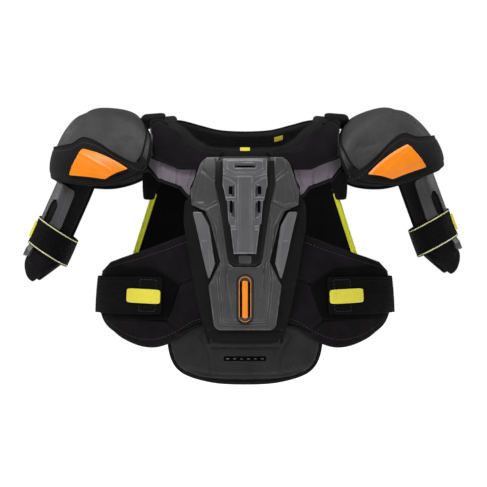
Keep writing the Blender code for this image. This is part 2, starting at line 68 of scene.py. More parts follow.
MM = 0.001
SIDES = {"right": -1.0, "left": 1.0}

# --- Forms, as in the CAD -------------------------------------------------------------

CHEST_LINE = -0.100
SHOULDER_RISE, SHOULDER_FALL = 0.104, 0.08
NECK_HALF_WIDTH = 0.124
COLLAR_WIDTH, COLLAR_THICK = 0.0165, 12 * MM
YOKE_TOP = 1.24
STRAP_HINGE_ANGLE = math.radians(82)
LINER, FOAM, PANEL, SHIELD = (0, 7 * MM), (
    8.4 * MM, 15.2 * MM
), (16.2 * MM, 22 * MM), (23 * MM, 29 * MM)
PLATE_BED, STERNUM = (29.6 * MM, 31.2 * MM), (31.8 * MM, 37 * MM)
BACK_LINER, BACK_PANEL, SPINE = (0, 6 * MM), (6.8 * MM, 13 * MM), (14.4 * MM, 20.4 * MM)
LOOP_PATCH, STRAP = (16.8 * MM, 17.8 * MM), (18.8 * MM, 21.2 * MM)
CAP_MIDDLE = np.array((0.205, 0.0, -0.050))
CAP_CROWN = np.array((0.250, 0.0, 0.020))
CAP_CENTRE = np.array((0.223, 0.0, -0.037))
CAP_RIM = (
    (0.168, 0.000, 0.006),
    (0.149, -0.086, -0.030),
    (0.158, -0.099, -0.072),
    (0.215, -0.098, -0.094),
    (0.284, -0.062, -0.088),
    (0.298, 0.000, -0.080),
)
CAP_ACCENT_CORNERS = ((0.254, -0.038), (0.179, -0.072), (0.216, -0.088), (0.275, -0.081))
CAP_BULGE = 13 * MM
CAP_TILT = {"right": 0.0, "left": math.radians(13)}
ARM_TOP = np.array((0.270, 0.0, -0.100))
ARM_LEAN = {"right": math.radians(24), "left": math.radians(20)}
ARM_LIFT = {"right": 0.0, "left": 0.016}
ARM_HALF_WIDTH, ARM_HALF_DEPTH = 0.022, 0.047


def curve_through(stops, levels, level_at=None):
    """A smooth reading of levels along rising stops, with no slope at level_at."""
    stops, levels = np.array(stops, float), np.array(levels, float)
    slopes = np.gradient(levels, stops)
    if level_at is not None:
        slopes[np.abs(stops - level_at) < 1e-6] = 0.0

    def read(value):
        value = np.clip(value, stops[0], stops[-1])
        k = np.clip(np.searchsorted(stops, value, side="right") - 1, 0, len(stops) - 2)
        span = stops[k + 1] - stops[k]
        t = (value - stops[k]) / span
        rise = t * t * (3 - 2 * t)
        bend = t * (1 - t) ** 2 * slopes[k] - t * t * (1 - t) * slopes[k + 1]
        return levels[k] * (1 - rise) + levels[k + 1] * rise + span * bend

    return read


TORSO_HEIGHTS = (-0.40, -0.30, -0.20, -0.10, -0.05)
half_width = curve_through(TORSO_HEIGHTS, (0.210, 0.219, 0.208, 0.175, 0.160))
half_depth = curve_through(TORSO_HEIGHTS, (0.112, 0.122, 0.125, 0.112, 0.098), CHEST_LINE)


def between(low, high, share):
    return low + (high - low) * share


def xyz(x, y, z):
    return np.stack(np.broadcast_arrays(x, y, z), axis=-1).astype(float)


def shoulder_rise(x):
    return SHOULDER_RISE - SHOULDER_FALL * np.maximum(0.0, np.abs(x) - 0.11)


def depth_at(x, z):
    share = np.minimum(0.999, np.abs(x) / half_width(z))
    return half_depth(z) * np.sqrt(1 - share * share)


def torso_level(p):
    x, y, z = p[..., 0], p[..., 1], p[..., 2]
    low = (x / half_width(z)) ** 2 + (y / half_depth(z)) ** 2
    high = (y / depth_at(x, CHEST_LINE)) ** 2 + ((z - CHEST_LINE) / shoulder_rise(x)) ** 2
    return np.where(z <= CHEST_LINE, low, high)


def unit(v):
    return v / np.maximum(1e-12, np.linalg.norm(v, axis=-1, keepdims=True))


def outward(level, p):
    """The direction in which a level function grows fastest."""
    step = 1.5 * MM
    slope = [level(p + step * axis) - level(p - step * axis) for axis in np.eye(3)]
    return unit(np.stack(slope, axis=-1))


def torso(face, x, rise, off):
    """Points over the torso: rise is metres below the chest line where negative, and the
    angle up and over the shoulder above it."""
    x, rise = np.broadcast_arrays(np.asarray(x, float), np.asarray(rise, float))
    low = xyz(x, face * depth_at(x, CHEST_LINE + rise), CHEST_LINE + rise)
    arch = face * depth_at(x, CHEST_LINE) * np.cos(rise)
    high = xyz(x, arch, CHEST_LINE + shoulder_rise(x) * np.sin(rise))
    p = np.where((rise <= 0)[..., None], low, high)
    return p + np.asarray(off)[..., None] * outward(torso_level, p)


def torso_round(angle, z, off):
    """Points over the torso by their angle round from the front middle."""
    p = xyz(half_width(z) * np.sin(angle), -half_depth(z) * np.cos(angle), z)
    flat = xyz(p[..., 0] / half_width(z) ** 2, p[..., 1] / half_depth(z) ** 2, 0.0)
    return p + np.asarray(off)[..., None] * unit(flat)


def rise_of(x, z):
    up = np.arcsin(np.clip((z - CHEST_LINE) / shoulder_rise(x), 0, 0.999))
    return np.where(z <= CHEST_LINE, z - CHEST_LINE, up)


def front(x, z, off):
    return torso(-1, x, rise_of(x, z), off)


def angle_of(x, z, off):
    return np.arcsin(np.minimum(0.999, np.abs(x) / (half_width(z) + off)))


def rise_by_row(v, bottom, top, lower_share):
    """Rises from bottom to top, with the chest line at the row lower_share."""
    low = between(bottom, 0.0, v / lower_share)
    high = between(0.0, top, (v - lower_share) / (1 - lower_share))
    return np.where(v <= lower_share, low, high)


def height_of(rise):
    return CHEST_LINE + np.where(rise <= 0, rise, SHOULDER_RISE * np.sin(np.maximum(rise, 0)))


FRONT_NECK = curve_through(
    (0, 0.030, 0.059, 0.074, 0.093, 0.110, 0.126),
    (-0.045, -0.0440, -0.0395, -0.031, -0.014, -0.004, 0.002),
)
BACK_NECK = curve_through(
    (0, 0.016, 0.043, 0.074, 0.102, 0.126), (-0.0130, -0.0127, -0.0108, -0.0045, 0.001, 0.002)
)


def neckline(face, x):
    """The height of the neck opening's edge at x, in front (-1) or behind (1)."""
    return (FRONT_NECK if face < 0 else BACK_NECK)(np.abs(x))


def below_collar(face, x, gap):
    """How high a layer may come at x so that it stays clear of the collar band."""
    ahead, behind = neckline(face, np.abs(x) + MM), neckline(face, np.abs(x) - MM)
    reach = (COLLAR_WIDTH + gap) * np.hypot(1.0, (ahead - behind) / (2 * MM))
    return rise_of(x, neckline(face, x) - reach)


def beside_collar(face, rise, gap):
    """The x at which a layer clears the collar band where it reaches this rise."""
    spots = np.linspace(0.03, NECK_HALF_WIDTH, 400)
    return np.interp(rise, below_collar(face, spots, gap), spots)


def cap_rim(turn):
    """Points round the cap's rim, by turns from its inner side over the front."""
    points = np.array(CAP_RIM)
    back = points[1:-1][::-1] * (1, -1, 1)
    points = np.concatenate([points, back])
    count = len(points)
    place = np.mod(turn, 1.0) * count
    at = np.floor(place).astype(int)
    t = (place - at)[..., None]
    a, b, c, d = (points[(at + k) % count] for k in (-1, 0, 1, 2))
    cubic = (3 * b - a - 3 * c + d) * t**3
    return 0.5 * (2 * b + (c - a) * t + (2 * a - 5 * b + 4 * c - d) * t**2 + cubic)


def cap_form(p, q):
    """The dome between the rim and the crown, before its outer bulge and its tilt."""
    reach = np.hypot(p, q)[..., None]
    bend = reach * math.pi / 2
    quarter = [cap_rim(np.array(k / 4)) for k in range(4)]
    even = p[..., None] * (quarter[0] - quarter[2]) / 2 + q[..., None] * (
        quarter[1] - quarter[3]
    ) / 2
    rim = (cap_rim(np.arctan2(q, p) / (2 * math.pi)) - CAP_MIDDLE) * np.sin(bend)
    share = np.minimum(1.0, reach) ** 2
    return CAP_MIDDLE + even * (1 - share) + rim * share + (CAP_CROWN - CAP_MIDDLE) * np.cos(bend)


def cap_point(side, p, q, off):
    """Points over a shoulder cap, by disc coordinates: q runs to the front and -p outwards."""
    p, q = np.broadcast_arrays(np.asarray(p, float), np.asarray(q, float))
    step = 0.01
    here = cap_form(p, q)
    across = cap_form(p + step, q) - cap_form(p - step, q)
    down = cap_form(p, q + step) - cap_form(p, q - step)
    normal = unit(np.cross(across, down))
    inward = np.sum(normal * (here - CAP_MIDDLE), axis=-1) < 0
    normal[inward] *= -1
    reach = np.hypot(p, q)
    outwards = np.clip(-p / np.maximum(reach, 1e-6), 0, 1) ** 1.5
    bulge = CAP_BULGE * outwards * np.clip(1 - ((reach - 0.55) / 0.5) ** 2, 0, 1)
    made = here + (np.asarray(off) + bulge)[..., None] * normal - CAP_CENTRE
    turn = -CAP_TILT[side]
    x = made[..., 0] * math.cos(turn) + made[..., 2] * math.sin(turn)
    z = made[..., 2] * math.cos(turn) - made[..., 0] * math.sin(turn)
    made = xyz(x, made[..., 1], z) + CAP_CENTRE
    return made * (SIDES[side], 1, 1)


def disc(a, b):
    """A square from -1 to 1 turned into a disc."""
    return a * np.sqrt(1 - b * b / 2), b * np.sqrt(1 - a * a / 2)


def cap_spot(x, z, off=0.0):
    """The disc coordinates of the front point over the dome that is seen at x and z."""
    p, q = 0.0, 0.6
    small = 1e-3
    for _ in range(40):
        here, ahead, aside = (
            cap_point("right", p + a, q + b, off) for a, b in ((0, 0), (small, 0), (0, small))
        )
        along_p, along_q = (here - ahead) / small, (here - aside) / small
        along_p, along_q = along_p * (1, -1, -1), along_q * (1, -1, -1)
        area = along_p[0] * along_q[2] - along_p[2] * along_q[0]
        dx, dz = x + here[0], z - here[2]
        p += 0.35 * (dx * along_q[2] - dz * along_q[0]) / area
        q += 0.35 * (dz * along_p[0] - dx * along_p[2]) / area
    return np.array((p, q))


def arm_point(side, angle, down, off):
    """Points over the sleeve: angle from the front round towards the outside."""
    lean = ARM_LEAN[side]
    axis = np.array((math.sin(lean), 0.0, -math.cos(lean)))
    out = np.array((math.cos(lean), 0.0, math.sin(lean)))
    angle, down, off = (np.asarray(a, float)[..., None] for a in (angle, down, off))
    ring = np.array((0.0, -1.0, 0.0)) * np.cos(angle) * (ARM_HALF_DEPTH + off)
    ring = ring + out * np.sin(angle) * (ARM_HALF_WIDTH + off)
    made = ARM_TOP + (0, 0, ARM_LIFT[side]) + axis * down + ring
    return made * (SIDES[side], 1, 1)


# --- Mesh making ----------------------------------------------------------------------


def mesh_object(name, points, faces):
    """A closed mesh with its faces turned outwards."""
    points, faces = np.asarray(points, float), np.asarray(faces)
    a, b, c, d = (points[faces[:, k]] for k in range(4))
    volume = np.sum(a * np.cross(b, c)) + np.sum(a * np.cross(c, d))
    if volume < 0:
        faces = faces[:, ::-1]
    data = bpy.data.meshes.new(name)
    data.from_pydata(points.tolist(), [], faces.tolist())
    data.validate()
    data.shade_smooth()
    made = bpy.data.objects.new(name, data)
    bpy.context.scene.collection.objects.link(made)
    return made


def grid_faces(rows, columns, ring):
    i = np.arange(rows if ring else rows - 1)[:, None]
    j = np.arange(columns - 1)[None, :]
    ahead = (i + 1) % rows
    quads = [i * columns + j, ahead * columns + j, ahead * columns + j + 1, i * columns + j + 1]
    return np.stack([np.broadcast_to(q, (len(i), columns - 1)) for q in quads], -1).reshape(-1, 4)


def graded(count, reach):
    """Steps from 0 to 1, closer together in the rounded edge at both ends."""
    near = reach * (1 - np.cos(np.linspace(0, math.pi / 2, 5)))
    middle = np.linspace(reach, 1 - reach, count)
    return np.concatenate([near[:-1], middle, (1 - near[::-1])[1:]])


def length_of(points):
    return float(np.sum(np.linalg.norm(np.diff(points, axis=0), axis=-1)))


def slab(name, place, steps, layer, edge=None, relief=None, under=None, corner=0.0, ring=False):
    """A closed sheet between the two offsets of layer, with rounded edges. place(u, v, off)
    gives its points, relief(u, v, points) what its outer face adds and under its inner one."""
    low, high = layer
    edge = edge or (high - low) * 0.5
    even = np.linspace(0, 1, 25)
    wide = length_of(place(even, np.full(25, 0.5), np.full(25, high)))
    tall = length_of(place(np.full(25, 0.5), even, np.full(25, high)))
    reach_u, reach_v = min(0.3, edge / wide), min(0.3, edge / tall)
    us = np.linspace(0, 1, steps[0] + 1)[:-1] if ring else graded(steps[0], reach_u)
    vs = graded(steps[1], reach_v)
    u, v = np.meshgrid(us, vs, indexing="ij")
    k = 1 - np.clip(np.minimum(v, 1 - v) / reach_v, 0, 1)
    if not ring:
        k = np.maximum(k, 1 - np.clip(np.minimum(u, 1 - u) / reach_u, 0, 1))
    full = np.sqrt(1 - k * k)
    if corner:
        a, b = 2 * u - 1, 2 * v - 1
        pull = 1 - corner * (np.abs(a * b)) ** 6
        u, v = (a * pull + 1) / 2, (b * pull + 1) / 2
    middle = (low + high) / 2
    top = middle + (high - middle) * full
    bottom = middle - (middle - low) * full
    if relief:
        top = top + relief(u, v, place(u, v, top)) * full**2
    if under:
        bottom = bottom + under(u, v, place(u, v, bottom)) * full**2
    upper, lower = place(u, v, top), place(u, v, bottom)
    rows, columns = u.shape
    border = np.zeros(u.shape, bool)
    border[:, [0, -1]] = True
    if not ring:
        border[[0, -1], :] = True
    number = np.arange(rows * columns).reshape(rows, columns)
    lower_number = number.copy()
    lower_number[~border] = rows * columns + np.arange(int((~border).sum()))
    faces = grid_faces(rows, columns, ring)
    points = np.concatenate([upper.reshape(-1, 3), lower[~border]])
    below = lower_number.reshape(-1)[faces][:, ::-1]
    return mesh_object(name, points, np.concatenate([faces, below]))


def resampled(points, count, ring=False):
    """A smooth path of count points through the given ones, evenly spaced."""
    points = np.asarray(points, float)
    n = len(points)
    t = np.linspace(0, n if ring else n - 1, max(6 * n, count) * 2)
    k = np.minimum(np.floor(t).astype(int), n - 1 if ring else n - 2)
    s = (t - k)[:, None]
    index = [(k + j) % n if ring else np.clip(k + j, 0, n - 1) for j in (-1, 0, 1, 2)]
    a, b, c, d = (points[i] for i in index)
    bend = (2 * a - 5 * b + 4 * c - d) * s**2 + (3 * b - a - 3 * c + d) * s**3
    fine = 0.5 * (2 * b + (c - a) * s + bend)
    far = np.concatenate([[0], np.cumsum(np.linalg.norm(np.diff(fine, axis=0), axis=-1))])
    at = np.linspace(0, far[-1], count + 1)[:-1] if ring else np.linspace(0, far[-1], count)
    return np.stack([np.interp(at, far, fine[:, j]) for j in range(points.shape[1])], -1)


def straight(points, count):
    """The same polyline with count evenly spaced points, its corners kept."""
    points = np.asarray(points, float)
    far = np.concatenate([[0], np.cumsum(np.linalg.norm(np.diff(points, axis=0), axis=-1))])
    at = np.linspace(0, far[-1], count)
    return np.stack([np.interp(at, far, points[:, j]) for j in range(points.shape[1])], -1)


def row_at(along, share):
    return np.stack([along, np.full(len(along), share)], -1)


def laid(place, flat, off):
    """(points, normals) of a path of flat coordinates laid on a form at an offset."""
    a, b = flat[:, 0], flat[:, 1]
    here = place(a, b, np.full(len(flat), float(off)))
    above = place(a, b, np.full(len(flat), off + MM))
    return here, unit(above - here)


def tangents(points, ring):
    if ring:
        return unit(np.roll(points, -1, 0) - np.roll(points, 1, 0))
    return unit(np.gradient(points, axis=0))


def tube(name, path, half_thick, half_wide=None, sides=10, ring=False):
    """A piping or binding along (points, normals), with round ends."""
    points, normals = path
    half_wide = half_wide or half_thick
    along = tangents(points, ring)
    up = unit(normals - along * np.sum(normals * along, -1, keepdims=True))
    across = np.cross(along, up)
    scale = np.ones(len(points))
    if not ring:
        turns = np.radians((75, 45, 15))
        grow = np.cos(turns)
        reach = half_thick * np.sin(turns)[:, None]
        points = np.concatenate(
            [points[0] - reach * along[0], points, (points[-1] + reach * along[-1])[::-1]]
        )
        up = np.concatenate([np.repeat(up[:1], 3, 0), up, np.repeat(up[-1:], 3, 0)])
        across = np.concatenate([np.repeat(across[:1], 3, 0), across, np.repeat(across[-1:], 3, 0)])
        scale = np.concatenate([grow, scale, grow[::-1]])
    turn = np.linspace(0, 2 * math.pi, sides, endpoint=False)
    spin = up[:, None] * (np.sin(turn) * half_thick)[None, :, None]
    spin = spin + across[:, None] * (np.cos(turn) * half_wide)[None, :, None]
    rings = points[:, None] + spin * scale[:, None, None]
    rows, count = len(points), sides
    i = np.arange(rows if ring else rows - 1)[:, None]
    j = np.arange(count)[None, :]
    ahead, beside = (i + 1) % rows, (j + 1) % count
    quads = [i * count + j, ahead * count + j, ahead * count + beside, i * count + beside]
    faces = np.stack([np.broadcast_to(q, (len(i), count)) for q in quads], -1).reshape(-1, 4)
    if not ring:
        half = count // 2
        for start in (0, (rows - 1) * count):
            for k in range(half - 1):
                cap = [start + k, start + k + 1, start + count - 2 - k, start + count - 1 - k]
                faces = np.concatenate([faces, [cap if start else cap[::-1]]])
    return mesh_object(name, rings.reshape(-1, 3), faces)


def stitches(name, path, length=3.4 * MM, gap=2.0 * MM, radius=0.5 * MM):
    """A row of thread stitches half sunk along (points, normals)."""
    points, normals = path
    far = np.concatenate([[0], np.cumsum(np.linalg.norm(np.diff(points, axis=0), axis=-1))])
    count = max(1, int(far[-1] / (length + gap)))
    at = (np.arange(count) + 0.5) * far[-1] / count

    def read(values):
        return np.stack([np.interp(at, far, values[:, k]) for k in range(3)], -1)

    centre, up, along = read(points), unit(read(normals)), unit(read(tangents(points, False)))
    across = unit(np.cross(along, up))
    rows, sides = 5, 6
    lift = np.linspace(-1, 1, rows)
    bulge = np.sqrt(np.maximum(0.04, 1 - lift**4))
    turn = np.linspace(0, 2 * math.pi, sides, endpoint=False)
    a = (lift * length / 2)[:, None] * np.ones(sides)
    b = bulge[:, None] * np.cos(turn) * radius
    c = bulge[:, None] * np.sin(turn) * radius
    shape = [x.reshape(1, -1, 1) for x in (a, b, c)]
    made = centre[:, None] + along[:, None] * shape[0] + across[:, None] * shape[1]
    made = made + up[:, None] * shape[2]
    one = []
    for i in range(rows - 1):
        for j in range(sides):
            k = (j + 1) % sides
            one.append([i * sides + j, (i + 1) * sides + j, (i + 1) * sides + k, i * sides + k])
    for start in (0, (rows - 1) * sides):
        for k in range(sides // 2 - 1):
            cap = [start + k, start + k + 1, start + sides - 2 - k, start + sides - 1 - k]
            one.append(cap if start else cap[::-1])
    faces = np.array(one)[None] + (np.arange(count) * rows * sides)[:, None, None]
    return mesh_object(name, made.reshape(-1, 3), faces.reshape(-1, 4))


# --- Relief ---------------------------------------------------------------------------


def distance_to(a, b, line):
    """How far the spots (a, b) are from a polyline of pairs."""
    line = np.asarray(line, float)
    best = np.full(np.shape(a), 1e9)
    for (x0, y0), (x1, y1) in zip(line[:-1], line[1:]):
        dx, dy = x1 - x0, y1 - y0
        t = np.clip(((a - x0) * dx + (b - y0) * dy) / max(1e-12, dx * dx + dy * dy), 0, 1)
        best = np.minimum(best, np.hypot(a - x0 - t * dx, b - y0 - t * dy))
    return best


def seam(distance, width, depth):
    """A soft groove where the distance is nought."""
    return -depth * np.exp(-((distance / width) ** 2))


def step_up(value, width):
    """From 0 to 1 where the value passes nought."""
    t = np.clip(value / width + 0.5, 0, 1)
    return t * t * (3 - 2 * t)


def inside(a, b, corners):
    """The distance to a polygon's edge, above 0 inside it."""
    corners = np.asarray(corners, float)
    loop = np.concatenate([corners, corners[:1]])
    within = np.zeros(np.shape(a), bool)
    for (x0, y0), (x1, y1) in zip(loop[:-1], loop[1:]):
        crosses = (y0 > b) != (y1 > b)
        at = x0 + (b - y0) / (y1 - y0 if y1 != y0 else 1e-12) * (x1 - x0)
        within ^= crosses & (a < at)
    far = distance_to(a, b, loop)
    return np.where(within, far, -far)


def crown(u, v, height):
    """A soft bulge over the whole sheet."""
    return height * np.clip(4 * u * (1 - u), 0, 1) ** 0.6 * np.clip(4 * v * (1 - v), 0, 1) ** 0.6


# --- Materials ------------------------------------------------------------------------


class Graph:
    """A material under construction."""

    def __init__(self, name):
        self.material = bpy.data.materials.new(name)
        self.material.use_nodes = True
        self.nodes = self.material.node_tree.nodes
        self.links = self.material.node_tree.links
        self.shader = self.nodes["Principled BSDF"]
        self.place = self.nodes.new("ShaderNodeTexCoord").outputs["Object"]

    def set(self, node, key, value):
        if isinstance(value, bpy.types.NodeSocket):
            self.links.new(value, node.inputs[key])
        else:
            node.inputs[key].default_value = value

    def math(self, operation, a, b=0.0, c=0.0):
        node = self.nodes.new("ShaderNodeMath")
        node.operation = operation
        for key, value in enumerate((a, b, c)):
            self.set(node, key, value)
        return node.outputs[0]

    def noise(self, scale, detail=2.0, rough=0.5):
        node = self.nodes.new("ShaderNodeTexNoise")
        self.links.new(self.place, node.inputs["Vector"])
        for key, value in (("Scale", scale), ("Detail", detail), ("Roughness", rough)):
            node.inputs[key].default_value = value
        return node.outputs[0]

    def turned(self, turn):
        node = self.nodes.new("ShaderNodeMapping")
        self.links.new(self.place, node.inputs["Vector"])
        node.inputs["Rotation"].default_value = turn
        return node.outputs[0]

    def cells(self, scale, spread=1.0):
        node = self.nodes.new("ShaderNodeTexVoronoi")
        self.links.new(self.place, node.inputs["Vector"])
        node.inputs["Scale"].default_value = scale
        node.inputs["Randomness"].default_value = spread
        return node.outputs["Distance"]

    def ramp(self, value, low, high, out_low=0.0, out_high=1.0):
        node = self.nodes.new("ShaderNodeMapRange")
        for key, entry in enumerate((value, low, high, out_low, out_high)):
            self.set(node, key, entry)
        return node.outputs[0]

    def mix(self, share, a, b):
        node = self.nodes.new("ShaderNodeMix")
        node.data_type = "RGBA"
        for key, value in ((0, share), (6, a), (7, b)):
            plain = not isinstance(value, bpy.types.NodeSocket) and key
            self.set(node, key, (*value, 1.0) if plain else value)
        return node.outputs[2]

    def wave(self, axis, pitch, turn):
        """A sine along one axis of the turned row frame, from 0 to 1."""
        split = self.nodes.new("ShaderNodeSeparateXYZ")
        self.links.new(self.turned(turn), split.inputs[0])
        run = self.math("MULTIPLY", split.outputs[axis], 2 * math.pi / pitch)
        return self.math("MULTIPLY_ADD", self.math("SINE", run), 0.5, 0.5)

    def pattern(self, kind, size):
        if kind == "weave":
            turn = (math.radians(32), 0, math.radians(38))
            warp, weft = self.wave(0, size, turn), self.wave(2, size, turn)
            return self.math("MULTIPLY", warp, weft)
        if kind == "leather":
            bumps = self.ramp(self.cells(1 / size), 0.0, 0.75, 1.0, 0.0)
            return self.math("MULTIPLY_ADD", self.noise(2.2 / size, 3.0), 0.35, bumps)
        if kind == "mesh":
            return self.ramp(self.cells(1 / size, spread=0.25), 0.22, 0.42)
        if kind == "ribs_z":
            return self.wave(2, size, (0, 0, 0))
        if kind == "ribs_x":
            return self.wave(0, size, (0, 0, math.radians(35)))
        return self.noise(1 / size, 3.0, 0.6)


def look(
    name, colour, shade, kind, size, depth, rough, gloss=0.3, sheen=0.0, coat=0.0, edge_wear_and_highlight=0.25,
    hollow_shade=0.35,
):
    """A finish: two colours mixed in soft clouds, a fine pattern that dents it and has painted
    shade in its hollows, lighter edges that are partly wear and partly a painted highlight, and
    uneven roughness."""
    g = Graph(name)
    height = g.pattern(kind, size)
    clouds = g.ramp(g.noise(22.0, 4.0, 0.6), 0.35, 0.68)
    fine = g.noise(700.0, 2.0)
    tone = g.mix(clouds, colour, shade)
    # Painted shade: the hollows of the fine pattern are mixed towards a darker tone.
    dark = tuple(c * 0.45 for c in shade)
    shaded_hollows = g.ramp(height, 0.0, 0.7, hollow_shade, 0.0)
    tone = g.mix(shaded_hollows, tone, dark)
    # Lighter convex edges, found by pointiness and broken up by noise: partly wear and partly a
    # painted highlight along the ridges.
    light = tuple(min(1.0, c * 2.2 + 0.004) for c in colour)
    edges = g.nodes.new("ShaderNodeNewGeometry").outputs["Pointiness"]
    worn_and_highlit_edges = g.math(
        "MULTIPLY", g.ramp(edges, 0.505, 0.56), g.ramp(g.noise(90.0, 4.0), 0.4, 0.65, 0.2, edge_wear_and_highlight * 2)
    )
    tone = g.mix(worn_and_highlit_edges, tone, light)
    g.set(g.shader, "Base Color", tone)
    uneven = g.math("MULTIPLY_ADD", g.math("ADD", clouds, fine), 0.09, rough - 0.09)
    g.set(g.shader, "Roughness", uneven)
    g.shader.inputs["Specular IOR Level"].default_value = gloss
    g.shader.inputs["Sheen Weight"].default_value = sheen
    g.shader.inputs["Sheen Roughness"].default_value = 0.4
    g.shader.inputs["Coat Weight"].default_value = coat
    g.shader.inputs["Coat Roughness"].default_value = 0.18
    mixed = g.math("MULTIPLY_ADD", fine, 0.25, height)
    bump = g.nodes.new("ShaderNodeBump")
    bump.inputs["Strength"].default_value = 0.8
    bump.inputs["Distance"].default_value = depth
    g.links.new(mixed, bump.inputs["Height"])
    g.links.new(bump.outputs[0], g.shader.inputs["Normal"])
    return g.material


LOOKS = {
    "brushed_black": look(
        "brushed_fleece", (0.0090, 0.0078, 0.0090), (0.0050, 0.0044, 0.0050), "fleece", 1.6 * MM,
        0.5 * MM, 0.88, 0.05, 0.02,
    ),
    "plum_grey": look(
        "plum_lycra", (0.215, 0.182, 0.215), (0.150, 0.128, 0.152), "weave", 1.3 * MM, 0.25 * MM,
        0.78, 0.12, 0.08,
    ),
    "panel_charcoal": look(
        "charcoal_nylon", (0.0160, 0.0150, 0.0158), (0.0092, 0.0088, 0.0092), "leather", 1.5 * MM,
        0.3 * MM, 0.66, 0.2, 0.02,
    ),
    "binding_black": look(
        "black_binding", (0.0040, 0.0037, 0.0040), (0.0024, 0.0024, 0.0024), "weave", 0.9 * MM,
        0.3 * MM, 0.80, 0.12,
    ),
    "shield_grey": look(
        "moulded_shield", (0.044, 0.0425, 0.042), (0.027, 0.026, 0.026), "plastic", 0.9 * MM,
        0.12 * MM, 0.46, 0.4, edge_wear_and_highlight=0.9, hollow_shade=0.15,
    ),
    "plate_grey": look(
        "moulded_plate", (0.090, 0.090, 0.095), (0.068, 0.068, 0.072), "plastic", 0.8 * MM,
        0.08 * MM, 0.38, 0.5, coat=0.12, edge_wear_and_highlight=1.0, hollow_shade=0.12,
    ),
    "insert_silver": look(
        "silver_insert", (0.105, 0.103, 0.107), (0.080, 0.079, 0.083), "plastic", 0.7 * MM,
        0.06 * MM, 0.36, 0.5, coat=0.12, edge_wear_and_highlight=0.4, hollow_shade=0.10,
    ),
    "bed_black": look(
        "bed_plastic", (0.0036, 0.0036, 0.0040), (0.0024, 0.0024, 0.0027), "plastic", 1.0 * MM,
        0.1 * MM, 0.46, 0.2, hollow_shade=0.15,
    ),
    "orange_gloss": look(
        "orange_enamel", (0.860, 0.235, 0.003), (0.800, 0.200, 0.002), "plastic", 3.0 * MM,
        0.05 * MM, 0.38, 0.3, coat=0.12, edge_wear_and_highlight=0.05, hollow_shade=0.06,
    ),
    "cap_leather": look(
        "nubby_leather", (0.030, 0.0285, 0.029), (0.014, 0.0132, 0.014), "leather", 1.8 * MM,
        0.35 * MM, 0.60, 0.35, 0.02,
    ),
    "neon_yellow": look(
        "neon_mesh", (0.720, 0.640, 0.060), (0.640, 0.580, 0.050), "mesh", 1.7 * MM, 0.3 * MM, 0.62,
        0.2, edge_wear_and_highlight=0.05, hollow_shade=0.30,
    ),
    "elastic_black": look(
        "ribbed_elastic", (0.0016, 0.0016, 0.0019), (0.0010, 0.0010, 0.0012), "ribs_z", 1.5 * MM,
        0.35 * MM, 0.82, 0.1,
    ),
    "guard_grey": look(
        "guard_plastic", (0.052, 0.051, 0.054), (0.036, 0.035, 0.038), "plastic", 0.9 * MM,
        0.1 * MM, 0.44, 0.4, edge_wear_and_highlight=0.4, hollow_shade=0.12,
    ),
}
EXTRA = {
    "border": look(
        "border_nylon", (0.0038, 0.0036, 0.0038), (0.0022, 0.0021, 0.0022), "leather", 1.5 * MM,
        0.3 * MM, 0.66, 0.12, 0.02,
    ),
    # The back trim's yellow-green mesh: its colour is partly its own and partly painted light,
    # brightened because the trim sits in shadow.
    "trim": look(
        "trim_mesh_painted_light", (0.900, 0.960, 0.050), (0.820, 0.880, 0.040), "mesh", 2.2 * MM, 0.4 * MM, 0.6,
        0.2, edge_wear_and_highlight=0.05, hollow_shade=0.45,
    ),
    # Painted shade: a near-black finish laid in the plate's slot and vents, round the accent pill
    # and in the belly slot, standing in for the shade inside them.
    "shade": look(
        "painted_recess_shade", (0.0016, 0.0016, 0.0018), (0.0010, 0.0010, 0.0012), "plastic", 1.0 * MM,
        0.05 * MM, 0.9, 0.03, edge_wear_and_highlight=0.0,
    ),
    "thread": look(
        "grey_thread", (0.030, 0.029, 0.030), (0.020, 0.020, 0.020), "ribs_x", 0.7 * MM, 0.1 * MM,
        0.7,
    ),
    "olive": look(
        "olive_thread", (0.500, 0.520, 0.270), (0.420, 0.440, 0.210), "ribs_x", 0.8 * MM, 0.1 * MM,
        0.7,
    ),
    "collar": look(
        "collar_knit", (0.0110, 0.0100, 0.0112), (0.0065, 0.0060, 0.0065), "weave", 1.2 * MM,
        0.25 * MM, 0.8, 0.1, 0.03,
    ),
    # The black tricot of the linings, partly its own black and partly painted shade: darker than
    # its tone, for the insides where little light falls.
    "shaded_tricot": look(
        "inner_tricot_painted_shade", (0.0022, 0.0022, 0.0028), (0.0014, 0.0014, 0.0018), "weave", 1.6 * MM,
        0.35 * MM, 0.84, 0.08, 0.02,
    ),
    "hook": look(
        "loop_pile", (0.0018, 0.0018, 0.0022), (0.0012, 0.0012, 0.0014), "fleece", 0.9 * MM,
        0.5 * MM, 0.92, 0.06, 0.02,
    ),
}


def put(piece, body, slot, *nodes, fill=None, finish=None):
    """Gives a piece its finish and its body, and hides the CAD nodes that it stands for."""
    piece.data.materials.clear()
    piece.data.materials.append(EXTRA[finish] if finish else LOOKS[slot])
    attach(piece, body)
    if nodes:
        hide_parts(*nodes)
    return piece


def binding(body, *shape, **more):
    put(tube(*shape, **more), body, "binding_black")


def sewn(body, slot, *shape, **more):
    put(stitches(*shape, **more), body, slot, finish="thread")


# --- Soft pads swelled by simulation --------------------------------------------------


CLOTH_FRAMES = 20
CHEST_CENTRE = (0.0, 0.035, -0.13)


def baked(obj):
    """The object's mesh with its modifiers applied."""
    graph = bpy.context.evaluated_depsgraph_get()
    made = bpy.data.meshes.new_from_object(obj.evaluated_get(graph))
    obj.modifiers.clear()
    obj.data = made


def points_of(obj):
    points = np.empty(len(obj.data.vertices) * 3)
    obj.data.vertices.foreach_get("co", points)
    return points.reshape(-1, 3)


def set_points(obj, points):
    obj.data.vertices.foreach_set("co", np.ascontiguousarray(points, np.float32).ravel())
    obj.data.update()


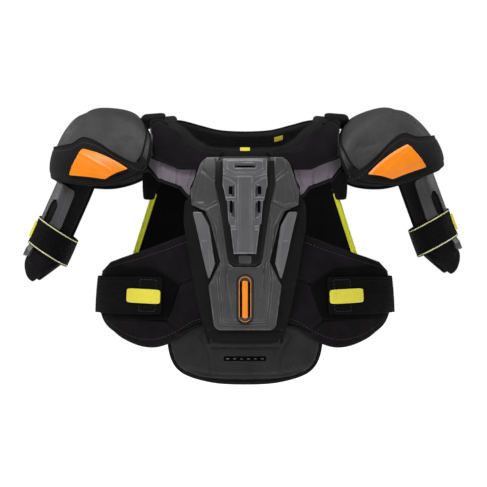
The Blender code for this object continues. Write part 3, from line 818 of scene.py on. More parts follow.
def inflate(obj, voxel, swell, under_swell):
    """Swells a pad with Blender's cloth. No point moves further than swell, or than
    under_swell on the side that rests on the layer beneath."""
    scene = bpy.context.scene
    remesh = obj.modifiers.new("remesh", "REMESH")
    remesh.mode = "VOXEL"
    remesh.voxel_size = voxel
    baked(obj)
    start = points_of(obj)
    cloth = obj.modifiers.new("Cloth", "CLOTH")
    cloth.settings.quality = 4
    cloth.settings.mass = 0.2
    cloth.settings.tension_stiffness = 18
    cloth.settings.compression_stiffness = 18
    cloth.settings.shear_stiffness = 6
    cloth.settings.bending_stiffness = 0.6
    cloth.settings.use_pressure = True
    cloth.settings.uniform_pressure_force = 4.0
    cloth.settings.effector_weights.gravity = 0.0
    cloth.point_cache.frame_start = 1
    cloth.point_cache.frame_end = CLOTH_FRAMES
    for step in range(1, CLOTH_FRAMES + 1):
        scene.frame_set(step)
    baked(obj)
    scene.frame_set(1)
    move = points_of(obj) - start
    far = np.linalg.norm(move, axis=-1, keepdims=True)
    out = unit(start - CHEST_CENTRE)
    under = np.sum(move * out, -1, keepdims=True) < 0
    most = np.where(under, under_swell, swell)
    set_points(obj, start + move * np.minimum(1.0, most / np.maximum(far, 1e-9)))
    smooth = obj.modifiers.new("smooth", "SUBSURF")
    smooth.levels = smooth.render_levels = 1
    baked(obj)
    obj.data.shade_smooth()
    return obj


def press(obj, relief):
    """Moves each point along its normal by relief(points, normals): seams and channels."""
    points = points_of(obj)
    normals = np.empty(len(points) * 3)
    obj.data.vertices.foreach_get("normal", normals)
    normals = normals.reshape(-1, 3)
    set_points(obj, points + normals * relief(points, normals)[:, None])
    return obj


def copied(obj, name):
    """The same mesh on the wearer's other side."""
    data = obj.data.copy()
    data.name = name
    made = bpy.data.objects.new(name, data)
    bpy.context.scene.collection.objects.link(made)
    set_points(made, points_of(made) * (-1, 1, 1))
    data.flip_normals()
    return made


def onto(obj, path, sink=0.0):
    """The path drawn onto an object's surface."""
    tree = BVHTree.FromPolygons(
        [tuple(p) for p in points_of(obj)], [tuple(f.vertices) for f in obj.data.polygons]
    )
    points, normals = [], []
    for point in path[0]:
        spot, normal, _, _ = tree.find_nearest(Vector(point))
        points.append(np.array(spot) - sink * np.array(normal))
        normals.append(np.array(normal))
    return smoothed(np.array(points)), unit(smoothed(np.array(normals)))


def smoothed(values, rounds=3):
    for _ in range(rounds):
        values[1:-1] = (values[:-2] + 2 * values[1:-1] + values[2:]) / 4
    return values


def sided(side, place):
    """The same placing on the wearer's side asked for."""

    def placed(*spot):
        return place(*spot) * (SIDES[side], 1, 1)

    return placed


def sheet_on(form, heights, halves):
    """Places a sheet that is symmetric about the middle, by its half width at each height."""
    read = curve_through(heights, halves)

    def placed(u, v, off):
        z = between(heights[0], heights[-1], v)
        return form((2 * u - 1) * read(z), z, off)

    return placed


# --- Chest ----------------------------------------------------------------------------


def chest_soft():
    def liner(u, v, off):
        top = below_collar(-1, (2 * u - 1) * 0.066, 2 * MM)
        rise = rise_by_row(v, -0.198, top, 6 / 8)
        half = np.interp(height_of(rise), (-0.298, -0.20, -0.13), (0.100, 0.100, 0.066))
        return torso(-1, (2 * u - 1) * half, rise, off)

    def channels(u, v, p):
        return seam(np.abs(np.mod(p[..., 0] + 0.0125, 0.025) - 0.0125), 1.6 * MM, -1.2 * MM)

    def core(u, v, off):
        x = (2 * u - 1) * 0.055
        return torso(-1, x, rise_by_row(v, -0.200, below_collar(-1, x, 2 * MM), 6 / 8), off)

    put(
        slab("chest_lining", liner, (70, 70), LINER, under=channels), "front", "brushed_black",
        "chest_liner", fill=0.5, finish="shaded_tricot",
    )
    put(
        slab("chest_foam", core, (30, 50), FOAM), "front", "brushed_black", "chest_core_foam",
        fill=0.9,
    )


def chest_panel():
    heights = (-0.34, -0.30, -0.20, -0.150, -0.122, -0.100, -0.070)
    halves = (0.053, 0.062, 0.080, 0.0865, 0.0830, 0.0740, 0.0640)
    place = sheet_on(front, heights, halves)

    def dents(u, v, p):
        x, z = np.abs(p[..., 0]), p[..., 2]
        band = seam(np.abs(z + 0.3205), 1.8 * MM, 1.2 * MM)
        return band + seam(
            np.abs(z + 0.336), 1.4 * MM, 0.9 * MM
        ) + 0.5 * MM * step_up(x - 0.045, 4 * MM)

    put(
        slab("chest_border", place, (80, 150), PANEL, relief=dents, corner=0.05), "front",
        "panel_charcoal", "chest_panel", fill=0.8, finish="border",
    )
    for side in SIDES:
        edge = curve_through(heights, halves)
        z = np.linspace(-0.336, -0.126, 120)
        half = edge(z)
        on_side = sided(side, front)
        rim = laid(on_side, np.stack([half - 0.4 * MM, z], -1), 19.4 * MM)
        binding("front", f"chest_binding_{side}", rim, 3.4 * MM, 2.6 * MM, 12)
        row = laid(on_side, np.stack([half - 4.6 * MM, z], -1), 22.0 * MM)
        sewn("front", "binding_black", f"chest_border_stitches_{side}", row)


SHIELD_TOP, SHIELD_LOW = -0.0635, -0.317
SHIELD_HEIGHTS = (SHIELD_LOW, -0.25, -0.24, -0.215, -0.158, -0.142, -0.132, -0.108, SHIELD_TOP)
SHIELD_HALVES = (0.044, 0.052, 0.047, 0.035, 0.049, 0.056, 0.075, 0.0765, 0.060)


def shield_half(z):
    half = np.interp(z, SHIELD_HEIGHTS, SHIELD_HALVES)
    for end, radius in ((SHIELD_TOP, 0.010), (SHIELD_LOW, 0.010)):
        near = np.clip(1 - np.abs(z - end) / radius, 0, 1)
        half = half - radius * (1 - np.sqrt(1 - near * near))
    return half


def shield_relief(u, v, p):
    """The shield's raised facets, grooves and the deep bed round the sternum plate."""
    x, z = np.abs(p[..., 0]), p[..., 2]
    bed = inside(
        x, z,
        (
            (-0.01, -0.050), (0.0385, -0.050), (0.0430, -0.0925), (0.0375, -0.1240),
            (0.0295, -0.1705), (0.0235, -0.2160), (0.0175, -0.2215), (-0.01, -0.2215),
        ),
    )
    made = -3.4 * MM * step_up(bed + 0.6 * MM, 2.0 * MM)
    ridge = distance_to(
        x, z,
        (
            (0.0405, -0.052), (0.0450, -0.0925), (0.0395, -0.1240), (0.0315, -0.1705),
            (0.0255, -0.2170), (0.0185, -0.2240), (0, -0.2240),
        ),
    )
    made = made + 0.8 * MM * np.exp(-((ridge / (1.4 * MM)) ** 2))
    facet = inside(
        x, z,
        (
            (0.0455, -0.048), (0.0570, -0.050), (0.0660, -0.072), (0.0480, -0.0880),
            (0.0440, -0.0800),
        ),
    )
    made = made + 1.2 * MM * step_up(facet, 2.4 * MM)
    plate = inside(
        x, z,
        (
            (0.0470, -0.0905), (0.0670, -0.0755), (0.0790, -0.1240), (0.0610, -0.1285),
            (0.0430, -0.1225),
        ),
    )
    made = made + 1.4 * MM * step_up(plate, 3.0 * MM)
    notch = distance_to(x, z, ((0.080, -0.1275), (0.0620, -0.1340), (0.0420, -0.1235)))
    made = made + seam(notch, 1.3 * MM, 1.6 * MM)
    mark = distance_to(x, z, ((0.0640, -0.0715), (0.0470, -0.0885)))
    made = made + seam(mark, 1.1 * MM, 1.4 * MM)
    flank = step_up(x - 0.0625, 2.0 * MM) * step_up(z + 0.1240, 2.0 * MM)
    made = made - 0.8 * MM * flank
    arm = distance_to(
        x, z, ((0.0400, -0.1450), (0.0340, -0.1900), (0.0290, -0.2300), (0.0300, -0.2560))
    )
    made = made + seam(arm, 1.3 * MM, 1.3 * MM)
    lower = inside(
        x, z,
        (
            (-0.01, -0.2255), (0.0250, -0.2255), (0.0300, -0.2330), (0.0180, -0.3040),
            (-0.01, -0.3040),
        ),
    )
    made = made + 1.5 * MM * step_up(lower, 2.4 * MM)
    outline = distance_to(
        x, z, ((0.0380, -0.2200), (0.0410, -0.2400), (0.0345, -0.3080), (0, -0.3100))
    )
    made = made + seam(outline, 1.2 * MM, 1.3 * MM) + seam(
        np.abs(outline - 3.6 * MM), 0.9 * MM, 0.7 * MM
    )
    insert = inside(
        x, z,
        (
            (0.0795, -0.1360), (0.0580, -0.1370), (0.0455, -0.1620), (0.0385, -0.2200),
            (0.0510, -0.2450), (0.0795, -0.2200),
        ),
    )
    made = made - 2.6 * MM * step_up(insert - 0.2 * MM, 1.6 * MM)
    rim = np.exp(-(((insert + 1.6 * MM) / (1.0 * MM)) ** 2))
    pill = np.hypot(x, np.maximum(0, np.abs(z + 0.2705) - 0.0255))
    return made + 0.6 * MM * rim - 1.4 * MM * step_up(8.4 * MM - pill, 1.6 * MM)


def stadium(radius, half_length, middle, count):
    """A ring of flat spots round a pill shape."""
    turn = np.linspace(0, 2 * math.pi, 48, endpoint=False)
    z = middle + np.sin(turn) * radius + np.sign(np.sin(turn)) * half_length
    corners = np.stack([np.cos(turn) * radius, z], -1)
    return straight(np.concatenate([corners, corners[:1]]), count + 1)[:-1]


BED_TOP, PLATE_TOP = -0.0690, -0.0680
SLOTS = (
    ("sternum_slot", 0.0, 0.0146, -0.0828, -0.0766),
    ("sternum_vent_upper", 0.0195, 0.0024, -0.1150, -0.0995),
    ("sternum_vent_lower", 0.0190, 0.0019, -0.1465, -0.1250),
)


def shield_and_plate():
    def shield(u, v, off):
        z = between(SHIELD_LOW, SHIELD_TOP, v)
        return front((2 * u - 1) * shield_half(z), z, off)

    put(
        slab("chest_shell", shield, (150, 250), SHIELD, edge=2.4 * MM, relief=shield_relief),
        "front", "shield_grey", "chest_shield",
    )

    def bed_half(z):
        half = np.interp(z, (-0.219, -0.13, -0.095, BED_TOP), (0.0235, 0.036, 0.0415, 0.0405))
        near = np.clip(1 - (z + 0.219) / 0.009, 0, 1)
        return half - 0.009 * (1 - np.sqrt(1 - near * near))

    def bed(u, v, off):
        z = between(-0.219, BED_TOP, v)
        return front((2 * u - 1) * bed_half(z), z, off)

    def bed_relief(u, v, p):
        x, z = np.abs(p[..., 0]), p[..., 2]
        return 0.5 * MM * np.exp(-(((x - bed_half(z) + 2.2 * MM) / (1.0 * MM)) ** 2))

    put(
        slab("plate_bed", bed, (60, 120), PLATE_BED, relief=bed_relief), "front", "bed_black",
        "sternum_bed",
    )

    def plate_half(z):
        stops = (-0.204, -0.165, -0.161, -0.128, -0.124, -0.106, -0.098, -0.085, PLATE_TOP)
        return np.interp(
            z, stops, (0.0155, 0.0205, 0.0225, 0.0245, 0.0265, 0.0285, 0.0305, 0.0300, 0.0305)
        )

    def plate(u, v, off):
        z = between(-0.204, PLATE_TOP, v)
        return front((2 * u - 1) * plate_half(z), z, off)

    def plate_relief(u, v, p):
        x, z = np.abs(p[..., 0]), p[..., 2]
        header = inside(
            x, z,
            (
                (-0.01, -0.0590), (0.0275, -0.0600), (0.0285, -0.0730), (0.0165, -0.0790),
                (-0.01, -0.0790),
            ),
        )
        slot = inside(
            x, z, ((-0.01, -0.0645), (0.0160, -0.0645), (0.0160, -0.0712), (-0.01, -0.0712))
        )
        shelf = distance_to(x, z, ((0.0320, -0.0780), (0.0180, -0.0830), (-0.01, -0.0830)))
        pocket = inside(
            x, z,
            (
                (0.0330, -0.0860), (0.0265, -0.0880), (0.0155, -0.0960), (0.0150, -0.1600),
                (0.0330, -0.1600),
            ),
        )
        centre = inside(
            x, z, ((-0.01, -0.0830), (0.0115, -0.0830), (0.0125, -0.2100), (-0.01, -0.2100))
        )
        made = 1.5 * MM * step_up(header, 1.4 * MM) - 3.4 * MM * step_up(slot, 0.9 * MM)
        made = made + seam(shelf, 1.2 * MM, 1.2 * MM) - 1.4 * MM * step_up(pocket, 1.4 * MM)
        made = made + 1.2 * MM * step_up(centre, 1.6 * MM)
        for bottom, top in ((-0.1150, -0.0985), (-0.1465, -0.1235)):
            cut = inside(
                x, z,
                (
                    (0.0175, top), (0.0215, top - 1.5 * MM), (0.0205, bottom + 1.5 * MM),
                    (0.0165, bottom),
                ),
            )
            made = made - 3.2 * MM * step_up(cut + 0.4 * MM, 1.0 * MM)
        bar = inside(
            x, z, ((0.0300, -0.1160), (0.0155, -0.1160), (0.0155, -0.1215), (0.0300, -0.1215))
        )
        made = made + 1.2 * MM * step_up(bar, 1.4 * MM)
        groove = seam(np.abs(z + 0.1635), 1.2 * MM, 1.4 * MM) * step_up(x - 0.0135, 1.0 * MM)
        line = seam(np.abs(x - 0.0085), 0.7 * MM, 0.6 * MM) * step_up(-0.0880 - z, 2 * MM)
        return made + groove + line

    put(
        slab("sternum_armour", plate, (80, 190), STERNUM, edge=1.6 * MM, relief=plate_relief),
        "front", "plate_grey", "sternum_plate",
    )
    foot = sheet_on(front, (-0.2175, -0.2062), (0.0085, 0.0090))
    put(
        slab("sternum_foot", foot, (20, 14), (31.5 * MM, 33.4 * MM), corner=0.12), "front",
        "shield_grey",
    )
    # Painted shade: thin near-black sheets inside the plate's slot and vents stand in for the shade
    # in them.
    for name, middle, half, low, high in SLOTS:
        for side in SIDES:
            spot = sheet_on(
                lambda x, z, off, m=middle: front(x + m, z, off), (low, high), (half, half)
            )
            if middle or side == "right":
                recess_shade_sheet = slab(
                    f"{name}_{side}", sided(side, spot), (10, 14), (36.0 * MM, 36.5 * MM),
                    corner=0.25,
                )
                put(recess_shade_sheet, "front", "bed_black", finish="shade")

    lit = laid(front, np.stack([np.zeros(60), np.linspace(-0.2965, -0.2445, 60)], -1), 30.4 * MM)
    put(tube("accent_pill", lit, 2.2 * MM, 4.4 * MM, 20), "front", "orange_gloss", "accent_insert")
    for name, radius, thick in (
        ("accent_line", 0.0080, 0.5 * MM), ("accent_bezel", 0.0112, 1.3 * MM)
    ):
        ring = laid(front, stadium(radius, 0.0255, -0.2705, 160), 29.9 * MM)
        put(
            tube(name, ring, thick, ring=True, sides=10), "front",
            "orange_gloss" if "line" in name else "bed_black",
        )
    # Painted shade: a near-black strip in the recess round the accent pill stands in for its shade.
    well = np.stack([np.zeros(60), np.linspace(-0.2960, -0.2450, 60)], -1)
    put(
        tube("accent_well_shade", laid(front, well, 28.9 * MM), 1.2 * MM, 8.6 * MM, 20), "front",
        "bed_black", finish="shade",
    )


def side_insert(side):
    def insert(u, v, off):
        z = between(-0.239, -0.1430, v)
        inner = np.interp(z, (-0.239, -0.218, -0.165, -0.1430), (0.0500, 0.0425, 0.0505, 0.0610))
        outer = np.interp(z, (-0.239, -0.225, -0.160, -0.1430), (0.0525, 0.0560, 0.0705, 0.0745))
        return front(between(inner, outer, u), z, off)

    def relief(u, v, p):
        x, z = np.abs(p[..., 0]), p[..., 2]
        raised = inside(
            x, z,
            (
                (0.0660, -0.1830), (0.0585, -0.1830), (0.0535, -0.2260), (0.0400, -0.2400),
                (0.0660, -0.2400),
            ),
        )
        return -1.5 * MM * step_up(raised, 1.2 * MM) + 0.5 * MM * np.exp(
            -(((u - 0.12) / 0.10) ** 2)
        )

    layer = (23 * MM, 27.5 * MM)
    piece = slab(
        f"side_inlay_{side}", sided(side, insert), (36, 90), layer, edge=1.4 * MM, relief=relief,
        corner=0.06,
    )
    put(piece, "front", "insert_silver", f"side_insert_{side}")


def belly():
    def shape(u, v, off):
        half = np.interp(
            v, (0, 0.03, 0.08, 0.15, 0.26, 0.40, 0.6, 1),
            (0.058, 0.078, 0.091, 0.100, 0.108, 0.1130, 0.1160, 0.1165),
        )
        low = -0.4005 + 0.004 * np.abs(2 * u - 1) ** 3
        return torso(-1, (2 * u - 1) * half, between(low, -0.2985, v) - CHEST_LINE, off)

    pad = slab("belly_cushion", shape, (44, 24), (-4.2 * MM, 5.4 * MM), edge=4.5 * MM, corner=0.05)
    inflate(pad, 4.2 * MM, 5.0 * MM, 2.0 * MM)

    def dents(p, n):
        x, z = np.abs(p[:, 0]), p[:, 2]
        face = np.clip(-n[:, 1] * 2, 0, 1)
        base = distance_to(x, z, ((0, -0.3905), (0.060, -0.3895), (0.078, -0.3835)))
        arch = distance_to(
            x, z,
            (
                (0.0625, -0.3205), (0.0690, -0.329), (0.0600, -0.345), (0.0550, -0.362),
                (0.0535, -0.386),
            ),
        )
        made = seam(base, 1.7 * MM, 2.2 * MM) + seam(arch, 2.2 * MM, 2.0 * MM)
        return face * (made + seam(np.abs(z + 0.346) + 5 * (x > 0.053), 2.2 * MM, 1.3 * MM))

    press(pad, dents)
    put(pad, "front", "panel_charcoal", "belly_pad", fill=0.6)
    steps = np.linspace(0, 1, 90)
    loop = [
        shape(np.full(90, 0.0), 1 - steps, np.full(90, 0.8 * MM)),
        shape(steps, np.full(90, 0.0), np.full(90, 0.8 * MM)),
        shape(np.full(90, 1.0), steps, np.full(90, 0.8 * MM)),
    ]
    rim = resampled(smoothed(np.concatenate(loop)[::4], 4), 240)
    out = unit(rim * (1, 1, 0))
    binding("front", "belly_binding", (rim, unit(out)), 4.8 * MM, 4.2 * MM, 14)
    line = [(x, -0.3862 + 0.0115 * abs(x / 0.075) ** 3) for x in np.linspace(-0.075, 0.075, 9)]
    thread = onto(pad, laid(front, resampled(line, 110), 9 * MM))
    sewn("front", "panel_charcoal", "belly_stitches", thread)
    # Painted shade: a near-black strip in the belly slot stands in for the shade inside it.
    slot = onto(
        pad,
        laid(front, np.stack([np.linspace(-0.031, 0.031, 40), np.full(40, -0.3627)], -1), 9 * MM),
        0.2 * MM,
    )
    put(tube("belly_slot", slot, 1.0 * MM, 4.0 * MM, 12), "front", "bed_black", finish="shade")
    dashes = (slot[0] + slot[1] * 0.9 * MM, slot[1])
    put(
        stitches("belly_slot_dashes", dashes, 5.0 * MM, 4.2 * MM, 0.55 * MM), "front",
        "insert_silver",
    )


# --- Collar, yokes and clavicle pads --------------------------------------------------


def collars():
    for face, body, half, node in (
        (-1, "front", 0.121, "front_collar"), (1, "back_and_shoulders", 0.122, "back_collar")
    ):

        def place(u, v, off, face=face, half=half):
            x = (2 * u - 1) * half
            low, top = below_collar(face, x, 0.0), rise_of(x, neckline(face, x))
            return torso(face, x, between(low, top, v), off)

        def puff(u, v, p):
            return crown(np.full(u.shape, 0.5), v, 1.2 * MM)

        def ribs(u, v, p):
            return 0.5 * MM * np.sin(v * 2 * math.pi * 6)

        name = "collar_band_front" if face < 0 else "collar_band_back"
        band = slab(
            name, place, (150, 26), (0, COLLAR_THICK - 0.8 * MM), edge=3.5 * MM, relief=puff,
            under=ribs,
        )
        put(band, body, "brushed_black", node, fill=0.7, finish="collar")
        spots = np.linspace(0.004, 0.996, 150)
        for edge, share in (("upper", 0.965), ("lower", 0.045)):
            line = place(spots, np.full(150, share), np.full(150, COLLAR_THICK - 1.9 * MM))
            above = place(spots, np.full(150, share), np.full(150, COLLAR_THICK - 0.9 * MM))
            path = (line, unit(above - line))
            binding(body, f"{name}_{edge}_piping", path, 1.7 * MM, 1.7 * MM, 10)
        line = place(spots, np.full(150, 0.20), np.full(150, COLLAR_THICK - 0.2 * MM))
        sewn(
            body, "brushed_black", f"{name}_stitches",
            (line, unit(line - place(spots, np.full(150, 0.20), np.full(150, 5 * MM)))),
            radius=0.42 * MM,
        )

    def tag(u, v, off):
        x = (2 * u - 1) * 0.0074
        return torso(-1, x, rise_of(x, neckline(-1, x)) - between(0.062, 0.006, v), off)

    put(
        slab(
            "collar_label", tag, (14, 10), (COLLAR_THICK + 0.5 * MM, COLLAR_THICK + 1.5 * MM),
            corner=0.1,
        ),
        "front", "neon_yellow", "collar_tag",
    )

    def loop(u, v, off):
        x = 0.055 + (2 * u - 1) * 0.007
        return torso(
            1, x, rise_of(x, neckline(1, x)) - between(0.16, 0.05, v),
            off + 0.4 * MM * np.sin(v * math.pi) * -1,
        )

    put(
        slab("hanging_loop", loop, (10, 20), (-2.2 * MM, -0.5 * MM)), "back_and_shoulders",
        "neon_yellow", "hang_loop",
    )


def yoke_thick(rise):
    return np.interp(rise, (0.0, YOKE_TOP), (15 * MM, 7 * MM))


def yoke_place(u, v, off):
    low = np.interp(u, (0, 0.17, 0.28, 0.55, 0.80, 1), (-0.22, -0.12, -0.02, 0.04, 0.10, 0.34))
    rise = between(low, YOKE_TOP, v)
    rise = np.where(rise < 0, rise * SHOULDER_RISE, rise)
    inner = np.interp(rise, (-0.028, 0.10, 0.35), (0.079, 0.072, 0.066))
    inner = np.where(rise > 0.35, np.maximum(inner, beside_collar(-1, rise, 2.5 * MM)), inner)
    outer = np.interp(rise, (0.0, 0.3, 0.6, YOKE_TOP), (0.139, 0.147, 0.142, 0.150))
    return torso(-1, between(inner, outer, u), rise, off * yoke_thick(rise))


def clavicle_place(u, v, off):
    low = np.interp(u, (0, 0.12, 0.35, 0.6, 1), (0.44, 0.34, 0.21, 0.22, 0.42))
    rise = between(low, YOKE_TOP, v)
    inner = beside_collar(-1, rise, -5 * MM)
    outer = np.interp(rise, (0.5, 0.8, YOKE_TOP), (0.136, 0.139, 0.150))
    return torso(-1, between(inner, outer, u), rise, yoke_thick(rise) + 1.8 * MM + off)


CLAVICLE_ARCH = ((0.02, 0.80), (0.35, 0.90), (0.70, 0.84), (1.0, 0.66))


def front_shoulders():
    """The yoke panels and the clavicle pads, made on the left and copied to the right."""

    def channels(u, v, p):
        lines = seam(
            np.abs(u - 0.40 - 0.06 * v), 0.03, 1.8 * MM
        ) + seam(np.abs(u - 0.73), 0.03, 1.4 * MM)
        return (lines + crown(u, v, 1.2 * MM) - 1.0 * MM) / (12 * MM)

    yoke = slab(
        "yoke_pad_left", yoke_place, (54, 90), (0.0, 1.0), edge=0.0045, relief=channels, corner=0.06
    )
    pad = slab(
        "clavicle_cushion_left", clavicle_place, (26, 26), (1.2 * MM, 7.6 * MM), edge=3.2 * MM,
        corner=0.08,
    )
    inflate(pad, 3.0 * MM, 4.5 * MM, 0.8 * MM)

    def dents(p, n):
        arch = laid(clavicle_place, resampled(CLAVICLE_ARCH, 40), 9 * MM)[0]
        far = np.min(np.linalg.norm(p[:, None] - arch[None], axis=-1), axis=1)
        return seam(np.maximum(0, far - 1 * MM), 2.4 * MM, 2.2 * MM) * (n[:, 1] < 0.35)

    press(pad, dents)
    low = np.stack([np.linspace(0.03, 0.97, 60), np.full(60, 0.03)], -1)
    cord = laid(clavicle_place, low, 5.4 * MM)
    rim = np.concatenate(
        [
            np.stack([np.full(30, 0.012), np.linspace(0.75, 0.12, 30)], -1),
            np.stack([np.linspace(0.02, 0.98, 60), np.full(60, 0.012)], -1),
        ]
    )
    bound = laid(
        lambda u, v, off: yoke_place(u, v, off / yoke_thick(0.0)), resampled(rim[::3], 110),
        12.6 * MM,
    )
    stitch_at = np.stack([np.full(80, 0.13), np.linspace(0.10, 0.62, 80)], -1)
    row = laid(yoke_place, stitch_at, 1.0)
    made = {
        "yoke_pad": (yoke, "plum_grey", "yoke_panel", 0.6),
        "clavicle_cushion": (pad, "brushed_black", "clavicle_pad", 0.7),
        "clavicle_piping": (
            tube("clavicle_piping_left", cord, 3.0 * MM, 3.0 * MM, 12), "binding_black", None, None
        ),
        "yoke_binding": (
            tube("yoke_binding_left", bound, 3.4 * MM, 2.6 * MM, 12), "binding_black", None, None
        ),
        "yoke_stitches": (stitches("yoke_stitches_left", row), "plum_grey", None, None),
    }
    for name, (piece, slot, node, fill) in made.items():
        other = copied(piece, f"{name}_right")
        finish = "thread" if "stitches" in name else None
        for side, each in (("left", piece), ("right", other)):
            nodes = [f"{node}_{side}"] if node else []
            put(each, "front", slot, *nodes, fill=fill, finish=finish)


# --- Rib wings and the waist strap ----------------------------------------------------


def wing_top(x):
    return np.interp(x, (0.06, 0.200, 0.219, 0.232), (-0.158, -0.2085, -0.216, -0.232))


def wing_low(x):
    read = curve_through(
        (0.06, 0.078, 0.110, 0.146, 0.180, 0.205, 0.226, 0.232),
        (-0.314, -0.317, -0.336, -0.348, -0.342, -0.327, -0.302, -0.285),
    )
    return read(x)


def wing_place(u, v, off):
    angle = between(math.radians(11), math.radians(88), u)
    x = 0.232 * np.sin(angle)
    return torso_round(angle, between(wing_low(x), wing_top(x), v), off)


WING_SEAMS = (
    ((-0.10075, -0.24955), (-0.0713, -0.2387)),
    ((-0.10075, -0.24955), (-0.12245, -0.30535), (-0.1023, -0.3224), (-0.0558, -0.3069)),
    ((-0.12245, -0.30535), (-0.1922, -0.29915), (-0.2232, -0.2821)),
)


def wing(side):
    def relief(u, v, p):
        x, z = -np.abs(p[..., 0]), p[..., 2]
        made = crown(u, v, 1.4 * MM) - 0.8 * MM
        for line in WING_SEAMS:
            made = made + seam(distance_to(x, z, line), 2.0 * MM, 2.6 * MM)
        return made

    piece = slab(
        f"rib_guard_{side}", sided(side, wing_place), (120, 80), FOAM, edge=3.2 * MM, relief=relief,
        corner=0.07,
    )
    put(piece, "front", "brushed_black", f"rib_wing_{side}", fill=0.5)
    count = 110
    along = np.linspace(0.03, 0.965, count)
    for edge, share in (("top", 0.985), ("low", 0.015)):
        path = laid(sided(side, wing_place), row_at(along, share), 11.8 * MM)
        binding("front", f"rib_binding_{edge}_{side}", path, 3.0 * MM, 2.4 * MM, 12)
        inner = 0.92 if edge == "top" else 0.08
        row = laid(sided(side, wing_place), row_at(along, inner), 15.0 * MM)
        sewn("front", "brushed_black", f"rib_stitches_{edge}_{side}", row, radius=0.42 * MM)

    def patch(u, v, off):
        z = between(-0.305, -0.224, v)
        inner = np.interp(v, (0, 0.67, 1), (0.122, 0.105, 0.140))
        return torso_round(between(angle_of(inner, z, 0.016), math.radians(74), u), z, off)

    piece = slab(
        f"hook_landing_{side}", sided(side, patch), (60, 44), (16.2 * MM, LOOP_PATCH[1]),
        corner=0.08,
    )
    put(piece, "front", "elastic_black", f"loop_patch_{side}", finish="hook")


def waist(side):
    def strap(u, v, off):
        angle = between(angle_of(0.131, -0.267, 0.019), STRAP_HINGE_ANGLE, u)
        return torso_round(angle, between(-0.296, -0.238, v), off)

    def ribbed(u, v, p):
        bars = 0.22 * MM * np.sin(v * 2 * math.pi * 17)
        box = np.minimum(np.abs(u - 0.05), np.abs(u - 0.24))
        return bars + seam(box, 0.012, 0.7 * MM) - 0.25 * MM * (u > 0.24)

    body = f"waist_strap_{side}"
    piece = slab(
        f"strap_end_{side}", sided(side, strap), (90, 110), STRAP, relief=ribbed, corner=0.03
    )
    put(piece, body, "elastic_black", f"waist_strap_{side}")
    box = ((0.06, 0.08), (0.06, 0.92), (0.23, 0.92), (0.23, 0.08), (0.06, 0.08))
    path = laid(sided(side, strap), straight(box, 120), STRAP[1] + 0.1 * MM)
    sewn(body, "elastic_black", f"strap_box_stitches_{side}", path, radius=0.4 * MM)

    def tab(u, v, off):
        angle = between(angle_of(0.134, -0.267, 0.021), angle_of(0.187, -0.267, 0.021), u)
        lean = 2.2 * MM * (u - 0.5)
        return torso_round(angle, between(-0.279, -0.257, v) + lean, off)

    def slants(u, v, p):
        lines = np.abs(np.mod(u + 0.12 * v, 0.075) - 0.0375)
        return 0.25 * MM * crown(u, v, 1.0) + seam(lines, 0.009, 0.35 * MM) * (u < 0.5)

    piece = slab(
        f"pull_tab_{side}", sided(side, tab), (90, 40), (STRAP[1] + 0.4 * MM, STRAP[1] + 2.3 * MM),
        relief=slants, corner=0.08,
    )
    put(piece, body, "neon_yellow", f"waist_pull_tab_{side}")

    def elastic(u, v, off):
        angle = between(STRAP_HINGE_ANGLE + 0.0015, math.radians(132), u)
        settle = np.minimum(1.0, u / 0.7)
        return torso_round(
            angle, between(-0.296, -0.238, v), off + between(STRAP[0], 14 * MM, settle)
        )

    def bars(u, v, p):
        return 0.22 * MM * np.sin(v * 2 * math.pi * 17)

    piece = slab(
        f"waist_webbing_{side}", sided(side, elastic), (90, 110), (0, 2.4 * MM), relief=bars
    )
    piece.data.materials.append(LOOKS["elastic_black"])
    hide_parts(f"waist_elastic_{side}")
    fixed = sided(side, elastic)(np.array([0.95, 0.03]), np.array([0.5, 0.5]), np.zeros(2))
    tuple(fixed[0])
    tuple(fixed[1])
    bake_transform(piece)


# --- Back and shoulders ---------------------------------------------------------------


def back_half(rise):
    return np.interp(
        rise, (-0.205, -0.106, -0.02, 0.02, 0.5, 1.1), (0.172, 0.172, 0.1440, 0.1376, 0.136, 0.136)
    )


def back_place(u, v, off):
    top = np.minimum(1.08, below_collar(1, (2 * u - 1) * back_half(1.0), 3 * MM))
    rise = rise_by_row(v, -0.200, top, 6 / 10)
    return torso(1, (2 * u - 1) * back_half(rise), rise, off)


BACK_SEAMS = ((0.052, -0.05), (0.060, -0.16), (0.072, -0.30)), (
    (0.098, -0.05), (0.108, -0.16), (0.132, -0.30)
)


